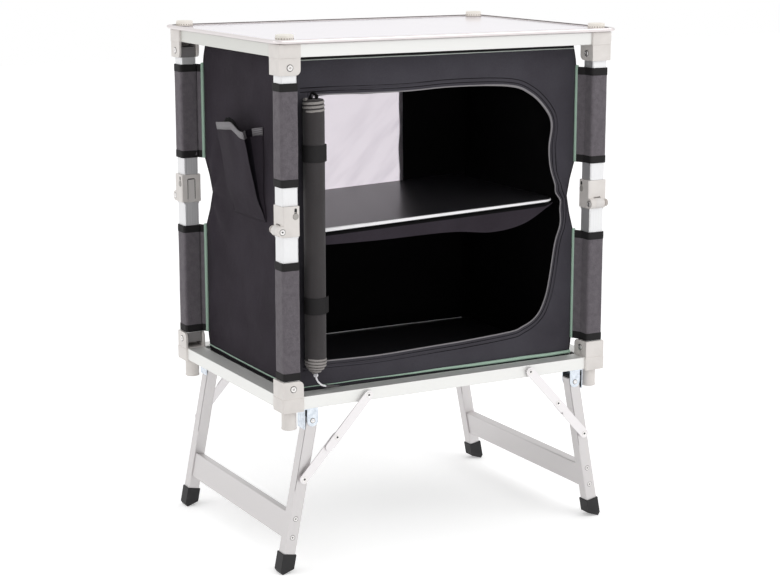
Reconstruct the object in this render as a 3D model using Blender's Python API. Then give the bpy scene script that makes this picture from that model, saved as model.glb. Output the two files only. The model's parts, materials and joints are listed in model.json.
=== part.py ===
"""Folding camping cupboard: worktop, cloth cabinet and folding legs.

Metres, +Z up. The origin is on the ground under the middle of the cupboard,
+X is its right side and -Y its front, where the door is rolled up.
"""
import math

import bmesh
import bpy
from mathutils import Matrix, Vector

# Running clearance between neighbouring pieces
GAP = 0.0003
CIRCLE = 16

# Frame: post axes, rails and heights
POST_SPACING_X = 0.560
POST_SPACING_Y = 0.382
RAIL_WIDTH = 0.030
RAIL_HEIGHT = 0.020
RAIL_WALL = 0.0014
RAIL_EDGE = 0.0006
LEDGE_WIDTH = 0.010
LEDGE_THICKNESS = 0.002
LEDGE_DROP = 0.008
BOTTOM_RAIL_Z = 0.264
PIN_SPAN = 0.490
RAIL_TO_PIN = 0.0147

# Corner blocks: collar, fork, spigots, cap above and stub below
COLLAR_SIDE = 0.036
COLLAR_LIP = 0.0025
COLLAR_STEP = 0.0015
FORK_SIDE = 0.0352
FORK_REACH = 0.0115
FORK_CORNER = 0.008
PIN_RADIUS = 0.004
RIVET_RADIUS = 0.0042
RIVET_HEIGHT = 0.0008
SPIGOT_LENGTH = 0.022
CAP_RADIUS = 0.0134
CAP_HEIGHT = 0.008
STUB_RADIUS = 0.0116
STUB_LENGTH = 0.0298
STUB_RIM = 0.003

# Post tubes and their folding lock
TUBE_SIDE = 0.027
TUBE_CHAMFER = 0.002
TUBE_WALL = 0.0014
HINGE_OFFSET = 0.0152
KNUCKLE_RADIUS = 0.0084
HINGE_PIN_RADIUS = 0.0025
HOUSING_WIDTH = 0.0346
HOUSING_DEPTH = 0.0278
HOUSING_CHAMFER = 0.0015
HOUSING_DROP = 0.0082
HOUSING_RISE = 0.0378
HOUSING_BACK_WALL = 0.0039
PLUG_LENGTH = 0.020
TONGUE_WIDTH = 0.0132
TONGUE_DEPTH = 0.0227
TONGUE_RISE = 0.030
TONGUE_COLLAR = 0.0028
TONGUE_COLLAR_PROUD = 0.0008
BUTTON_RADIUS = 0.0047
BUTTON_HEAD = 0.002
BUTTON_PROUD = 0.0008
BUTTON_TRAVEL = 0.0035
BUTTON_OFFSET = 0.007
BUTTON_RISE = 0.0225
SHAFT_RADIUS = 0.0022
KEY_SLOT_LENGTH = 0.0115
KEY_SLOT_DEPTH = 0.002

# Worktop
BOARD_MARGIN_X = 0.003
BOARD_MARGIN_Y = 0.002
BOARD_CORNER = 0.025
BOARD_THICKNESS = 0.005
TRIM_WIDTH = 0.006
TRIM_PROUD = 0.0006

# Floor board, shelf board and their places
FLOOR_THICKNESS = 0.005
FLOOR_CORNER = 0.012
SHELF_LENGTH = 0.456
SHELF_DEPTH = 0.320
SHELF_THICKNESS = 0.0065
SHELF_CORNER = 0.022
SHELF_Z = 0.5386
SHELF_TILT = math.radians(2.06)

# Cloth cabinet
WALL_INSET = 0.0085
CLOTH = 0.0015
WAIST_BOW = 0.014
HEM_BOW = 0.007
BOW_LEAD = 0.055
BOW_SIDE = 0.35
SLING_SETBACK = 0.003
SLING_DROP = 0.0285
DOOR_LEFT = -0.2215
DOOR_WIDTH = 0.4535
DOOR_LOW = 0.3245
DOOR_HEIGHT = 0.4190
POCKET_HEIGHT = 0.140
POCKET_LENGTH = 0.150
POCKET_DEPTH = 0.026
POCKET_LIP = 0.012
POCKET_Y = 0.020
POCKET_Z = 0.535
SLEEVE = 0.0011
SLEEVE_LENGTH_UPPER = 0.156
SLEEVE_LENGTH_LOWER = 0.184
SLEEVE_TOP = 0.0230
SLEEVE_BOTTOM = 0.0125
SLEEVE_EDGE = 0.004

# Rolled door
ROLL_RADIUS = 0.0175
ROLL_X = -0.2295
ROLL_BOTTOM = 0.313
ROLL_TOP = 0.741
STRAP_PROUD = 0.0008
STRAP_HEIGHT = 0.026
STRAP_HEIGHTS = (0.422, 0.657)

# Legs, feet, brackets and braces
LEG_SIDE = 0.020
LEG_WALL = 0.0014
LEG_SPLAY = math.radians(11.0)
LEG_PIVOT_X = 0.245
LEG_PIVOT_DROP = 0.0207
LEG_PIN_RADIUS = 0.003
LEG_HEAD = 0.0075
LEG_CAP = 0.004
FOOT_WALL = 0.0015
FOOT_INNER = 0.023
FOOT_OUTER = 0.029
FOOT_TIP = 0.0335
FOOT_TIP_X = 0.007
FOOT_SOCKET = 0.0202
CROSSBAR_HEIGHT = 0.042
CROSSBAR_THICKNESS = 0.015
CROSSBAR_FROM_PIVOT = 0.1735
BRACKET_SHEET = 0.0015
BRACKET_CHEEK = 0.019
BRACKET_FLANGE_GAP = 0.0132
BRACKET_FLANGE_DROP = 0.0123
LINK_WIDTH = 0.015
LINK_SHEET = 0.002
LINK_OVERLAP = 0.019
LINK_SPACE = 0.0006
BRACE_FROM_PIVOT = 0.0927
BRACE_RAIL_X = 0.1507
BRACE_RAIL_RISE = 0.010
BRACE_BOSS = 0.005

# Levels and planes worked out from the sizes above
CORNER_X = POST_SPACING_X / 2
CORNER_Y = POST_SPACING_Y / 2
LOWER_PIN_Z = BOTTOM_RAIL_Z + RAIL_HEIGHT + RAIL_TO_PIN
UPPER_PIN_Z = LOWER_PIN_Z + PIN_SPAN
HINGE_Z = LOWER_PIN_Z + PIN_SPAN / 2
TOP_RAIL_Z = UPPER_PIN_Z + RAIL_TO_PIN
BOARD_Z = TOP_RAIL_Z + RAIL_HEIGHT + GAP
BOARD_TOP = BOARD_Z + BOARD_THICKNESS
LEG_PIVOT_Z = BOTTOM_RAIL_Z - LEG_PIVOT_DROP
RAIL_FACE = RAIL_WIDTH / 2
LEG_LENGTH = (LEG_PIVOT_Z + FOOT_TIP_X * math.sin(LEG_SPLAY)) / math.cos(LEG_SPLAY)
LOWER_LINK_Y = RAIL_FACE + LINK_SPACE
UPPER_LINK_Y = LOWER_LINK_Y + LINK_SHEET + LINK_SPACE + 2 * GAP
WALL_X = CORNER_X - RAIL_FACE - WALL_INSET + CLOTH / 2
WALL_Y = CORNER_Y - RAIL_FACE - WALL_INSET + CLOTH / 2
LEDGE_Z = BOTTOM_RAIL_Z + RAIL_HEIGHT - LEDGE_DROP
FLOOR_Z = LEDGE_Z + GAP
FLOOR_TOP = FLOOR_Z + FLOOR_THICKNESS

# The four corners in turn: name, signs of x and y, quarter turns, hand of the lock
CORNERS = (
    ("fl", -1, -1, 0, 1),
    ("fr", 1, -1, 1, -1),
    ("rr", 1, 1, 2, 1),
    ("rl", -1, 1, 3, 1),
)

# Colour, roughness and metallic value of each material
FINISHES = {
    "board white": ((0.86, 0.84, 0.88), 0.16, 0.0),
    "aluminium": ((0.86, 0.86, 0.87), 0.38, 1.0),
    "grey plastic": ((0.70, 0.68, 0.66), 0.45, 0.0),
    "button plastic": ((0.42, 0.40, 0.39), 0.50, 0.0),
    "black plastic": ((0.025, 0.025, 0.027), 0.50, 0.0),
    "zinc steel": ((0.72, 0.76, 0.80), 0.32, 1.0),
    "black board": ((0.016, 0.016, 0.017), 0.28, 0.0),
    "charcoal cloth": ((0.042, 0.039, 0.044), 0.85, 0.0),
}


def clear_scene():
    for thing in list(bpy.data.objects):
        bpy.data.objects.remove(thing)


def finish(name):
    material = bpy.data.materials.get(name)
    if material is None:
        colour, roughness, metallic = FINISHES[name]
        material = bpy.data.materials.new(name)
        material.use_nodes = True
        shader = material.node_tree.nodes["Principled BSDF"]
        shader.inputs["Base Color"].default_value = (*colour, 1.0)
        shader.inputs["Roughness"].default_value = roughness
        shader.inputs["Metallic"].default_value = metallic
    return material


def add_object(name, vertices, faces):
    """Make one closed mesh object whose faces point out."""
    mesh = bpy.data.meshes.new(name)
    mesh.from_pydata([tuple(v) for v in vertices], [], faces)
    work = bmesh.new()
    work.from_mesh(mesh)
    bmesh.ops.recalc_face_normals(work, faces=work.faces)
    work.to_mesh(mesh)
    work.free()
    thing = bpy.data.objects.new(name, mesh)
    bpy.context.scene.collection.objects.link(thing)
    return thing


def prism(outline, axis, low, high):
    """Extrude a flat outline along x, y or z, from low to high."""
    def place(point, height):
        a, b = point
        return {"x": (height, a, b), "y": (a, height, b), "z": (a, b, height)}[axis]

    count = len(outline)
    vertices = [place(point, height) for height in (low, high) for point in outline]
    faces = [list(range(count)), list(range(count, 2 * count))]
    for i in range(count):
        j = (i + 1) % count
        faces.append([i, j, count + j, count + i])
    return add_object("solid", vertices, faces)


def loft(rings):
    """Join closed rings of the same count, the first and last closed off."""
    count = len(rings[0])
    vertices = [point for ring in rings for point in ring]
    last = (len(rings) - 1) * count
    faces = [list(range(count)), list(range(last, last + count))]
    for k in range(len(rings) - 1):
        for i in range(count):
            j = (i + 1) % count
            faces.append([k * count + i, k * count + j, (k + 1) * count + j, (k + 1) * count + i])
    return add_object("solid", vertices, faces)


def block(low, high):
    outline = [(low[0], low[1]), (high[0], low[1]), (high[0], high[1]), (low[0], high[1])]
    return prism(outline, "z", low[2], high[2])


def arc(centre, radius, start, end, count):
    """Points along an arc in degrees, both ends included."""
    angles = [math.radians(start + (end - start) * i / count) for i in range(count + 1)]
    return [(centre[0] + radius * math.cos(a), centre[1] + radius * math.sin(a)) for a in angles]


def disc(centre, radius, count=CIRCLE):
    step = 360 / count
    return arc(centre, radius, step / 2, 360 - step / 2, count - 1)


def cylinder(centre, radius, axis, low, high, count=CIRCLE):
    return prism(disc(centre, radius, count), axis, low, high)


def chamfered(half_a, half_b, cut):
    """Rectangle about the origin with its corners cut off."""
    a, b = half_a, half_b
    return [(a - cut, -b), (a, cut - b), (a, b - cut), (a - cut, b),
            (cut - a, b), (-a, b - cut), (-a, cut - b), (cut - a, -b)]


def rounded(half_a, half_b, radius, count=6):
    """Rectangle about the origin with round corners."""
    a, b = half_a - radius, half_b - radius
    points = []
    for centre, start in (((a, -b), -90), ((a, b), 0), ((-a, b), 90), ((-a, -b), 180)):
        points += arc(centre, radius, start, start + 90, count)
    return points


def shifted(outline, da, db):
    return [(a + da, b + db) for a, b in outline]


def smooth_curve(points, steps):
    """Closed Catmull-Rom curve through the points."""
    result = []
    count = len(points)
    for i in range(count):
        p0, p1, p2, p3 = (Vector(points[(i + k) % count]) for k in (-1, 0, 1, 2))
        for k in range(steps):
            t = k / steps
            result.append(tuple(0.5 * (2 * p1 + (p2 - p0) * t
                                       + (2 * p0 - 5 * p1 + 4 * p2 - p3) * t ** 2
                                       + (3 * p1 - p0 - 3 * p2 + p3) * t ** 3)))
    return result


def combine(base, operation, tools):
    """Union the tools with the base or cut them out of it."""
    for tool in tools:
        modifier = base.modifiers.new(operation, "BOOLEAN")
        modifier.operation = operation
        modifier.object = tool
        modifier.solver = "EXACT"
    bpy.context.view_layer.update()
    graph = bpy.context.evaluated_depsgraph_get()
    baked = bpy.data.meshes.new_from_object(base.evaluated_get(graph))
    base.modifiers.clear()
    base.data = baked
    for tool in tools:
        bpy.data.objects.remove(tool)
    return base


def fuse(base, *tools):
    return combine(base, "UNION", tools)


def cut(base, *tools):
    return combine(base, "DIFFERENCE", tools)


def turn_over(thing, scale):
    """Mirror a mesh about its own origin, faces still pointing out."""
    work = bmesh.new()
    work.from_mesh(thing.data)
    bmesh.ops.transform(work, matrix=Matrix.Diagonal((*scale, 1.0)), verts=work.verts)
    bmesh.ops.recalc_face_normals(work, faces=work.faces)
    work.to_mesh(thing.data)
    work.free()
    return thing


def name_and_place(thing, name, material, location=(0, 0, 0), turn=(0, 0, 0), sharp=35):
    thing.name = name
    thing.data.name = name
    thing.location = location
    thing.rotation_euler = turn
    thing.data.materials.clear()
    thing.data.materials.append(finish(material))
    thing.data.shade_smooth()
    thing.data.set_sharp_from_angle(angle=math.radians(sharp))
    return thing


def corner_place(sign_x, sign_y, quarter, z, offset=0.0):
    """World place of a point offset from a corner's axis along its fold direction."""
    angle = quarter * math.pi / 2
    x = sign_x * CORNER_X + offset * math.cos(angle)
    y = sign_y * CORNER_Y + offset * math.sin(angle)
    return (x, y, z)


# Corner blocks

def fork_walls():
    """Fork about the post pin, open towards +x, the way the post folds."""
    half = FORK_SIDE / 2
    base = -RAIL_TO_PIN - COLLAR_STEP
    channel = TUBE_SIDE / 2 + GAP
    floor = -RAIL_TO_PIN + 2 * GAP
    outline = [(-half, base), (half, base), (half, FORK_REACH - FORK_CORNER)]
    outline += arc((half - FORK_CORNER, FORK_REACH - FORK_CORNER), FORK_CORNER, 0, 90, 4)[1:]
    outline += [(-half, FORK_REACH)]
    walls = prism(outline, "y", -half, half)
    far = COLLAR_SIDE
    return cut(walls, block((-channel, -channel, floor), (far, channel, far)))


def corner_core(lip, round_part):
    """Collar, fork, two rail spigots and post pin, with a round part below."""
    side = COLLAR_SIDE / 2
    collar_low = -RAIL_TO_PIN - RAIL_HEIGHT - lip
    collar_high = -RAIL_TO_PIN - COLLAR_STEP
    middle = -RAIL_TO_PIN - RAIL_HEIGHT / 2
    tall = RAIL_HEIGHT / 2 - RAIL_WALL - 2 * GAP
    wide = RAIL_WIDTH / 2 - RAIL_WALL - 2 * GAP
    reach = side + SPIGOT_LENGTH
    collar = prism(chamfered(side, side, 0.0008), "z", collar_low, collar_high)
    spigot_x = block((0, -wide, middle - tall), (reach, wide, middle + tall))
    spigot_y = block((-wide, 0, middle - tall), (wide, reach, middle + tall))
    cheek = FORK_SIDE / 2
    head = cheek + RIVET_HEIGHT
    pin = cylinder((0, 0), PIN_RADIUS, "y", -head, head)
    return fuse(collar, fork_walls(), spigot_x, spigot_y, pin, round_part)


def stub():
    """Round stub under a bottom block, with a rim at its end."""
    top = -RAIL_TO_PIN - RAIL_HEIGHT
    end = top - COLLAR_LIP - STUB_LENGTH
    rim = STUB_RADIUS + 0.0006
    profile = [(STUB_RADIUS, top), (STUB_RADIUS, end + STUB_RIM), (rim, end + STUB_RIM - 0.0006),
               (rim, end + 0.001), (rim - 0.001, end)]
    rings = [[(a, b, z) for a, b in disc((0, 0), radius, 20)] for radius, z in profile]
    return loft(rings)


def cap():
    """Round cap that comes up through the worktop; built upside down."""
    top = -RAIL_TO_PIN - RAIL_HEIGHT + 0.001
    end = -RAIL_TO_PIN - RAIL_HEIGHT - GAP - BOARD_THICKNESS - CAP_HEIGHT
    edge = 0.0012
    profile = [(CAP_RADIUS, top), (CAP_RADIUS, end + edge), (CAP_RADIUS - edge, end)]
    rings = [[(a, b, z) for a, b in disc((0, 0), radius, 24)] for radius, z in profile]
    return loft(rings)


def make_corner_blocks():
    for name, sign_x, sign_y, quarter, _ in CORNERS:
        turn = (0, 0, quarter * math.pi / 2)
        lower = corner_core(COLLAR_LIP, stub())
        place = corner_place(sign_x, sign_y, quarter, LOWER_PIN_Z)
        name_and_place(lower, "bottom_corner_" + name, "grey plastic", place, turn)
        upper = turn_over(corner_core(0, cap()), (1, 1, -1))
        place = corner_place(sign_x, sign_y, quarter, UPPER_PIN_Z)
        name_and_place(upper, "top_corner_" + name, "grey plastic", place, turn)


# Rails

def rail_tube(length, ledge):
    """Rectangular tube along x, with an inner ledge of the given length or none."""
    half = length / 2
    wide, tall = RAIL_WIDTH / 2, RAIL_HEIGHT / 2
    tube = prism(chamfered(wide, tall, RAIL_EDGE), "x", -half, half)
    if ledge:
        low = LEDGE_Z - LEDGE_THICKNESS - BOTTOM_RAIL_Z - tall
        near, far = wide - RAIL_WALL, wide + LEDGE_WIDTH
        fuse(tube, block((-ledge / 2, near, low), (ledge / 2, far, low + LEDGE_THICKNESS)))
    bore = block((-length, RAIL_WALL - wide, RAIL_WALL - tall),
                 (length, wide - RAIL_WALL, tall - RAIL_WALL))
    return cut(tube, bore)


def make_rails():
    level = {"top": TOP_RAIL_Z + RAIL_HEIGHT / 2, "bottom": BOTTOM_RAIL_Z + RAIL_HEIGHT / 2}
    long_rail = POST_SPACING_X - COLLAR_SIDE - 2 * GAP
    short_rail = POST_SPACING_Y - COLLAR_SIDE - 2 * GAP
    short_ledge = POST_SPACING_Y - RAIL_WIDTH - 2 * (LEDGE_WIDTH + GAP)
    sides = (("front", long_rail, long_rail, (0, -CORNER_Y), 0),
             ("right", short_rail, short_ledge, (CORNER_X, 0), 1),
             ("rear", long_rail, long_rail, (0, CORNER_Y), 2),
             ("left", short_rail, short_ledge, (-CORNER_X, 0), 3))
    for where, z in level.items():
        for name, length, ledge, (x, y), quarter in sides:
            rail = rail_tube(length, ledge if where == "bottom" else 0)
            turn = (0, 0, quarter * math.pi / 2)
            name_and_place(rail, where + "_rail_" + name, "aluminium", (x, y, z), turn)


# Posts and their folding lock

def square_tube(low, high, offset=0.0):
    """Chamfered square tube along z, open at both ends."""
    half = TUBE_SIDE / 2
    outer = shifted(chamfered(half, half, TUBE_CHAMFER), offset, 0)
    inner = shifted(chamfered(half - TUBE_WALL, half - TUBE_WALL, TUBE_CHAMFER / 2), offset, 0)
    return cut(prism(outer, "z", low, high), prism(inner, "z", low - 0.01, high + 0.01))


def end_rounder(pin_z, direction, offset=0.0):
    """What is cut away past the pin to leave a half-round tube end."""
    radius = TUBE_SIDE / 2
    side = radius + 0.004
    start = 180 if direction < 0 else 0
    curve = arc((offset, pin_z), radius, start, start + 180, 10)
    first, last = curve[0], curve[-1]
    step = side if direction < 0 else -side
    far = pin_z + direction * side
    outline = curve + [(last[0] + step / 4, last[1]), (last[0] + step / 4, far),
                       (first[0] - step / 4, far), (first[0] - step / 4, first[1])]
    return prism(outline, "y", -side, side)


def post_pin_hole(z, offset=0.0):
    return cylinder((offset, z), PIN_RADIUS + GAP, "y", -TUBE_SIDE, TUBE_SIDE, 12)


def lock_radius():
    """Distance from the hinge axis to the button's shaft, and its angle in degrees."""
    across = BUTTON_OFFSET + HINGE_OFFSET
    return math.hypot(across, BUTTON_RISE), math.degrees(math.atan2(BUTTON_RISE, across))


def tongue_notch():
    """Curved notch the shaft leaves by when the post folds; hinge at the origin."""
    radius, angle = lock_radius()
    half = SHAFT_RADIUS + 2 * GAP
    centre = (BUTTON_OFFSET + HINGE_OFFSET, BUTTON_RISE)
    end = arc(centre, half, angle - 180, angle, 6)
    outer = arc((0, 0), radius + half, angle, 110, 8)[1:]
    inner = arc((0, 0), radius - half, 110, angle, 8)[:-1]
    return prism(end + outer + inner, "y", -TONGUE_WIDTH, TONGUE_WIDTH)


def make_lower_post(name, hand, place, turn):
    """Lower tube with the tongue and middle knuckle; origin on the bottom pin."""
    hinge = PIN_SPAN / 2
    collar_top = hinge - HOUSING_DROP - 2 * GAP
    collar_low = collar_top - TONGUE_COLLAR
    half = TUBE_SIDE / 2
    width = TONGUE_WIDTH / 2
    edge = half - GAP
    tube = square_tube(-half, collar_low)
    cut(tube, end_rounder(0, -1), post_pin_hole(0))
    collar = prism(chamfered(half, half + TONGUE_COLLAR_PROUD, 0.001), "z", collar_low, collar_top)
    tongue = block((edge - TONGUE_DEPTH, -width, collar_low + GAP), (edge, width, hinge + TONGUE_RISE))
    bridge = block((-HINGE_OFFSET, -width, hinge - HOUSING_DROP + GAP),
                   (edge - TONGUE_DEPTH / 2, width, hinge + KNUCKLE_RADIUS - GAP))
    knuckle = cylinder((-HINGE_OFFSET, hinge), KNUCKLE_RADIUS, "y", -width, width)
    fuse(tube, fuse(collar, tongue, bridge, knuckle))
    bore = cylinder((-HINGE_OFFSET, hinge), HINGE_PIN_RADIUS + GAP, "y", -half, half, 12)
    notch = tongue_notch()
    notch.location = (-HINGE_OFFSET, 0, hinge)
    cut(tube, bore, notch)
    turn_over(tube, (1, hand, 1))
    name_and_place(tube, "post_lower_" + name, "aluminium", place, turn)


def make_upper_post(name, hand, place, turn):
    """Upper tube; origin on the lock's hinge axis."""
    low = HOUSING_RISE + GAP
    pin = PIN_SPAN / 2
    tube = square_tube(low, pin + TUBE_SIDE / 2, HINGE_OFFSET)
    cut(tube, end_rounder(pin, 1, HINGE_OFFSET), post_pin_hole(pin, HINGE_OFFSET))
    turn_over(tube, (1, hand, 1))
    name_and_place(tube, "post_upper_" + name, "aluminium", place, turn)


def key_slot(face, inward):
    """Slot above the button, sunk into one face of the housing."""
    x, z = HINGE_OFFSET + BUTTON_OFFSET, BUTTON_RISE
    half = SHAFT_RADIUS
    top = z + KEY_SLOT_LENGTH - half
    outline = [(x - half, z), (x + half, z)] + arc((x, top), half, 0, 180, 6)
    low, high = sorted((face - inward * 0.001, face + inward * KEY_SLOT_DEPTH))
    return prism(outline, "y", low, high)


def make_lock_housing(name, hand, place, turn):
    """Housing plugged into the upper tube, with knuckles and hinge pin."""
    width = HOUSING_WIDTH / 2
    slot = TONGUE_WIDTH / 2 + GAP
    plug = TUBE_SIDE / 2 - TUBE_WALL - GAP
    body = prism(shifted(chamfered(HOUSING_DEPTH / 2, width, HOUSING_CHAMFER), HINGE_OFFSET, 0),
                 "z", -HOUSING_DROP, HOUSING_RISE)
    plug_part = prism(shifted(chamfered(plug, plug, TUBE_CHAMFER), HINGE_OFFSET, 0), "z",
                      HOUSING_RISE - 0.001, HOUSING_RISE + PLUG_LENGTH)
    near = cylinder((0, 0), KNUCKLE_RADIUS, "y", -width, -slot)
    far_radius, far_end = 0.006, 0.011
    far = loft([[(a, y, b) for a, b in disc((0, 0), r, 12)]
                for r, y in ((far_radius, slot), (far_radius, far_end), (far_radius / 2, far_end + 0.0022))])
    fuse(body, plug_part, near, far)
    back = HINGE_OFFSET - HOUSING_DEPTH / 2 + HOUSING_BACK_WALL
    ceiling = TONGUE_RISE + 2 * GAP
    reach = 0.05
    mouth = block((back, -slot, -reach), (reach, slot, ceiling))
    knuckle_room = block((-reach, -slot, -reach), (reach, slot, KNUCKLE_RADIUS + 0.002))
    x = HINGE_OFFSET + BUTTON_OFFSET
    sink = BUTTON_HEAD - BUTTON_PROUD + BUTTON_TRAVEL + 2 * GAP
    recess = cylinder((x, BUTTON_RISE), BUTTON_RADIUS + GAP, "y", -width - 0.001, sink - width)
    far_recess = cylinder((x, BUTTON_RISE), BUTTON_RADIUS, "y", width - KEY_SLOT_DEPTH, width + 0.001)
    shaft = cylinder((x, BUTTON_RISE), SHAFT_RADIUS + GAP, "y", -reach, reach, 12)
    cut(body, mouth, knuckle_room, recess, far_recess, shaft, key_slot(-width, 1), key_slot(width, -1))
    fuse(body, cylinder((0, 0), HINGE_PIN_RADIUS, "y", -width + 0.001, far_end, 12))
    turn_over(body, (1, hand, 1))
    name_and_place(body, "lock_housing_" + name, "grey plastic", place, turn)


def make_lock_button(name, hand, place, turn):
    """Push button and its shaft; origin on the shaft's axis."""
    width = HOUSING_WIDTH / 2
    head_start = -width - BUTTON_PROUD
    head = cylinder((0, 0), BUTTON_RADIUS, "y", head_start, head_start + BUTTON_HEAD)
    shaft = cylinder((0, 0), SHAFT_RADIUS, "y", head_start + 0.001, width - KEY_SLOT_DEPTH / 2, 12)
    button = fuse(head, shaft)
    turn_over(button, (1, hand, 1))
    name_and_place(button, "lock_button_" + name, "button plastic", place, turn)


def make_posts():
    for name, sign_x, sign_y, quarter, hand in CORNERS:
        turn = (0, 0, quarter * math.pi / 2)
        lower = corner_place(sign_x, sign_y, quarter, LOWER_PIN_Z)
        hinge = corner_place(sign_x, sign_y, quarter, HINGE_Z, -HINGE_OFFSET)
        button = corner_place(sign_x, sign_y, quarter, HINGE_Z + BUTTON_RISE, BUTTON_OFFSET)
        make_lower_post(name, hand, lower, turn)
        make_upper_post(name, hand, hinge, turn)
        make_lock_housing(name, hand, hinge, turn)
        make_lock_button(name, hand, button, turn)


# Boards

def make_worktop():
    """Board with a hole for each corner cap, and its edge trim."""
    bore = CAP_RADIUS + GAP
    half_x = CORNER_X + bore + BOARD_MARGIN_X
    half_y = CORNER_Y + bore + BOARD_MARGIN_Y
    radius = BOARD_CORNER - TRIM_WIDTH - GAP
    low, high = BOARD_Z - BOARD_THICKNESS, BOARD_TOP + BOARD_THICKNESS
    board = prism(rounded(half_x, half_y, radius), "z", BOARD_Z, BOARD_TOP - TRIM_PROUD)
    cut(board, *[cylinder((x * CORNER_X, y * CORNER_Y), bore, "z", low, high, 24)
                 for _, x, y, _, _ in CORNERS])
    inner, outer = GAP, GAP + TRIM_WIDTH
    trim = prism(rounded(half_x + outer, half_y + outer, radius + outer), "z", BOARD_Z, BOARD_TOP)
    cut(trim, prism(rounded(half_x + inner, half_y + inner, radius + inner), "z", low, high))
    name_and_place(trim, "worktop_trim", "aluminium")
    name_and_place(board, "worktop_board", "board white")


def make_floor_board():
    half_x = CORNER_X - RAIL_FACE - 0.002
    half_y = CORNER_Y - RAIL_FACE - 0.002
    board = prism(chamfered(half_x, half_y, FLOOR_CORNER), "z", FLOOR_Z, FLOOR_TOP)
    name_and_place(board, "floor_board", "black board")


def make_shelf_board():
    outline = rounded(SHELF_LENGTH / 2, SHELF_DEPTH / 2, SHELF_CORNER)
    half = SHELF_THICKNESS / 2
    board = prism(outline, "z", -half, half)
    name_and_place(board, "shelf_board", "black board", (0, 0, SHELF_Z), (0, -SHELF_TILT, 0))


# Cloth cabinet

def sleeve_heights():
    """Lower and upper ends of the cloth sleeves on the two post halves."""
    low = LOWER_PIN_Z + SLEEVE_BOTTOM
    high = UPPER_PIN_Z - SLEEVE_TOP
    return ((low, low + SLEEVE_LENGTH_LOWER), (high - SLEEVE_LENGTH_UPPER, high))


def wall_ring(inset, bow, z):
    """Plan of the cabinet walls at one height, drawn in by bow at the corners."""
    a, b = WALL_X - inset, WALL_Y - inset
    lead = BOW_LEAD
    side = bow * BOW_SIDE
    quarter = [(a - side, b - lead), (a - bow, b - bow * 0.9), (a - lead, b - side)]
    plan = []
    for sign_x, sign_y, order in ((1, -1, -1), (1, 1, 1), (-1, 1, -1), (-1, -1, 1)):
        plan += [(sign_x * x, sign_y * y, z) for x, y in quarter[::order]]
    return plan


def wall_levels():
    """Heights of the cloth walls and how far their corners bow in there."""
    lower, upper = sleeve_heights()
    waist = (lower[1] + upper[0]) / 2
    flare = (waist - lower[1]) / 2
    top = BOARD_Z - GAP
    return ((FLOOR_TOP + GAP, HEM_BOW), (lower[0], 0), (lower[1], 0),
            (waist - flare, WAIST_BOW * 0.7), (waist, WAIST_BOW), (waist + flare, WAIST_BOW * 0.7),
            (upper[0], 0), (upper[1], 0), (top, HEM_BOW))


def door_opening():
    """Outline of the front opening, widest on the right at the shelf's height."""
    shape = [(0.0, 0.01), (0.0, 0.25), (0.0, 0.51), (0.0, 0.78), (0.0, 0.995), (0.33, 0.995),
             (0.71, 1.0), (0.86, 0.96), (0.94, 0.87), (0.95, 0.755), (0.963, 0.635),
             (1.0, 0.525), (0.995, 0.43), (0.97, 0.31), (0.947, 0.15), (0.865, 0.04),
             (0.71, 0.015), (0.36, 0.0)]
    keys = [(DOOR_LEFT + DOOR_WIDTH * u, DOOR_LOW + DOOR_HEIGHT * v) for u, v in shape]
    return smooth_curve(keys, 3)


def under_shelf(x):
    """Height of the cloth's upper face under the shelf at x."""
    reach = SHELF_LENGTH / 2
    half = SHELF_THICKNESS / 2 / math.cos(SHELF_TILT)
    return SHELF_Z + math.tan(SHELF_TILT) * max(-reach, min(reach, x)) - half - GAP


def sling_sheet():
    """Cloth under the shelf, sewn to the side walls and the rear wall."""
    wide, reach, rear = WALL_X, SHELF_LENGTH / 2, WALL_Y
    outline = [(x, under_shelf(x)) for x in (-wide, -reach, reach, wide)]
    outline += [(x, z - CLOTH) for x, z in reversed(outline)]
    sheet = prism(outline, "y", -SHELF_DEPTH / 2 + SLING_SETBACK, rear)
    inset = CLOTH / 2
    return combine(sheet, "INTERSECT", [cloth_loft(inset, wall_levels())])


def sling_edge():
    """Front edge of the sling, hanging below the shelf in a shallow curve."""
    half = SHELF_LENGTH / 2 - SLING_SETBACK
    level = SHELF_Z - SLING_DROP
    hang = [(-1.0, 0.0), (-0.49, -0.05), (0.12, 0.0), (0.47, -0.25), (0.74, 0.05), (0.88, 0.5), (1.0, 1.0)]
    edge = [(half * u, level + SLING_DROP * v) for u, v in hang]
    near = -SHELF_DEPTH / 2 + SLING_SETBACK
    top = [(x, under_shelf(x) - CLOTH / 2) for x in (half, -half)]
    return prism(edge + top, "y", near - CLOTH, near + CLOTH / 2)


def pocket_wedge():
    """Hanging pocket on the left wall, deepest at its mouth."""
    wall = -WALL_X
    top = POCKET_Z + POCKET_HEIGHT
    back = wall + WAIST_BOW
    profile = [(back, POCKET_Z), (back, top), (wall - POCKET_DEPTH, top),
               (wall - POCKET_DEPTH, top - POCKET_LIP), (wall, POCKET_Z)]
    half = POCKET_LENGTH / 2
    return prism(profile, "y", POCKET_Y - half, POCKET_Y + half)


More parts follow.
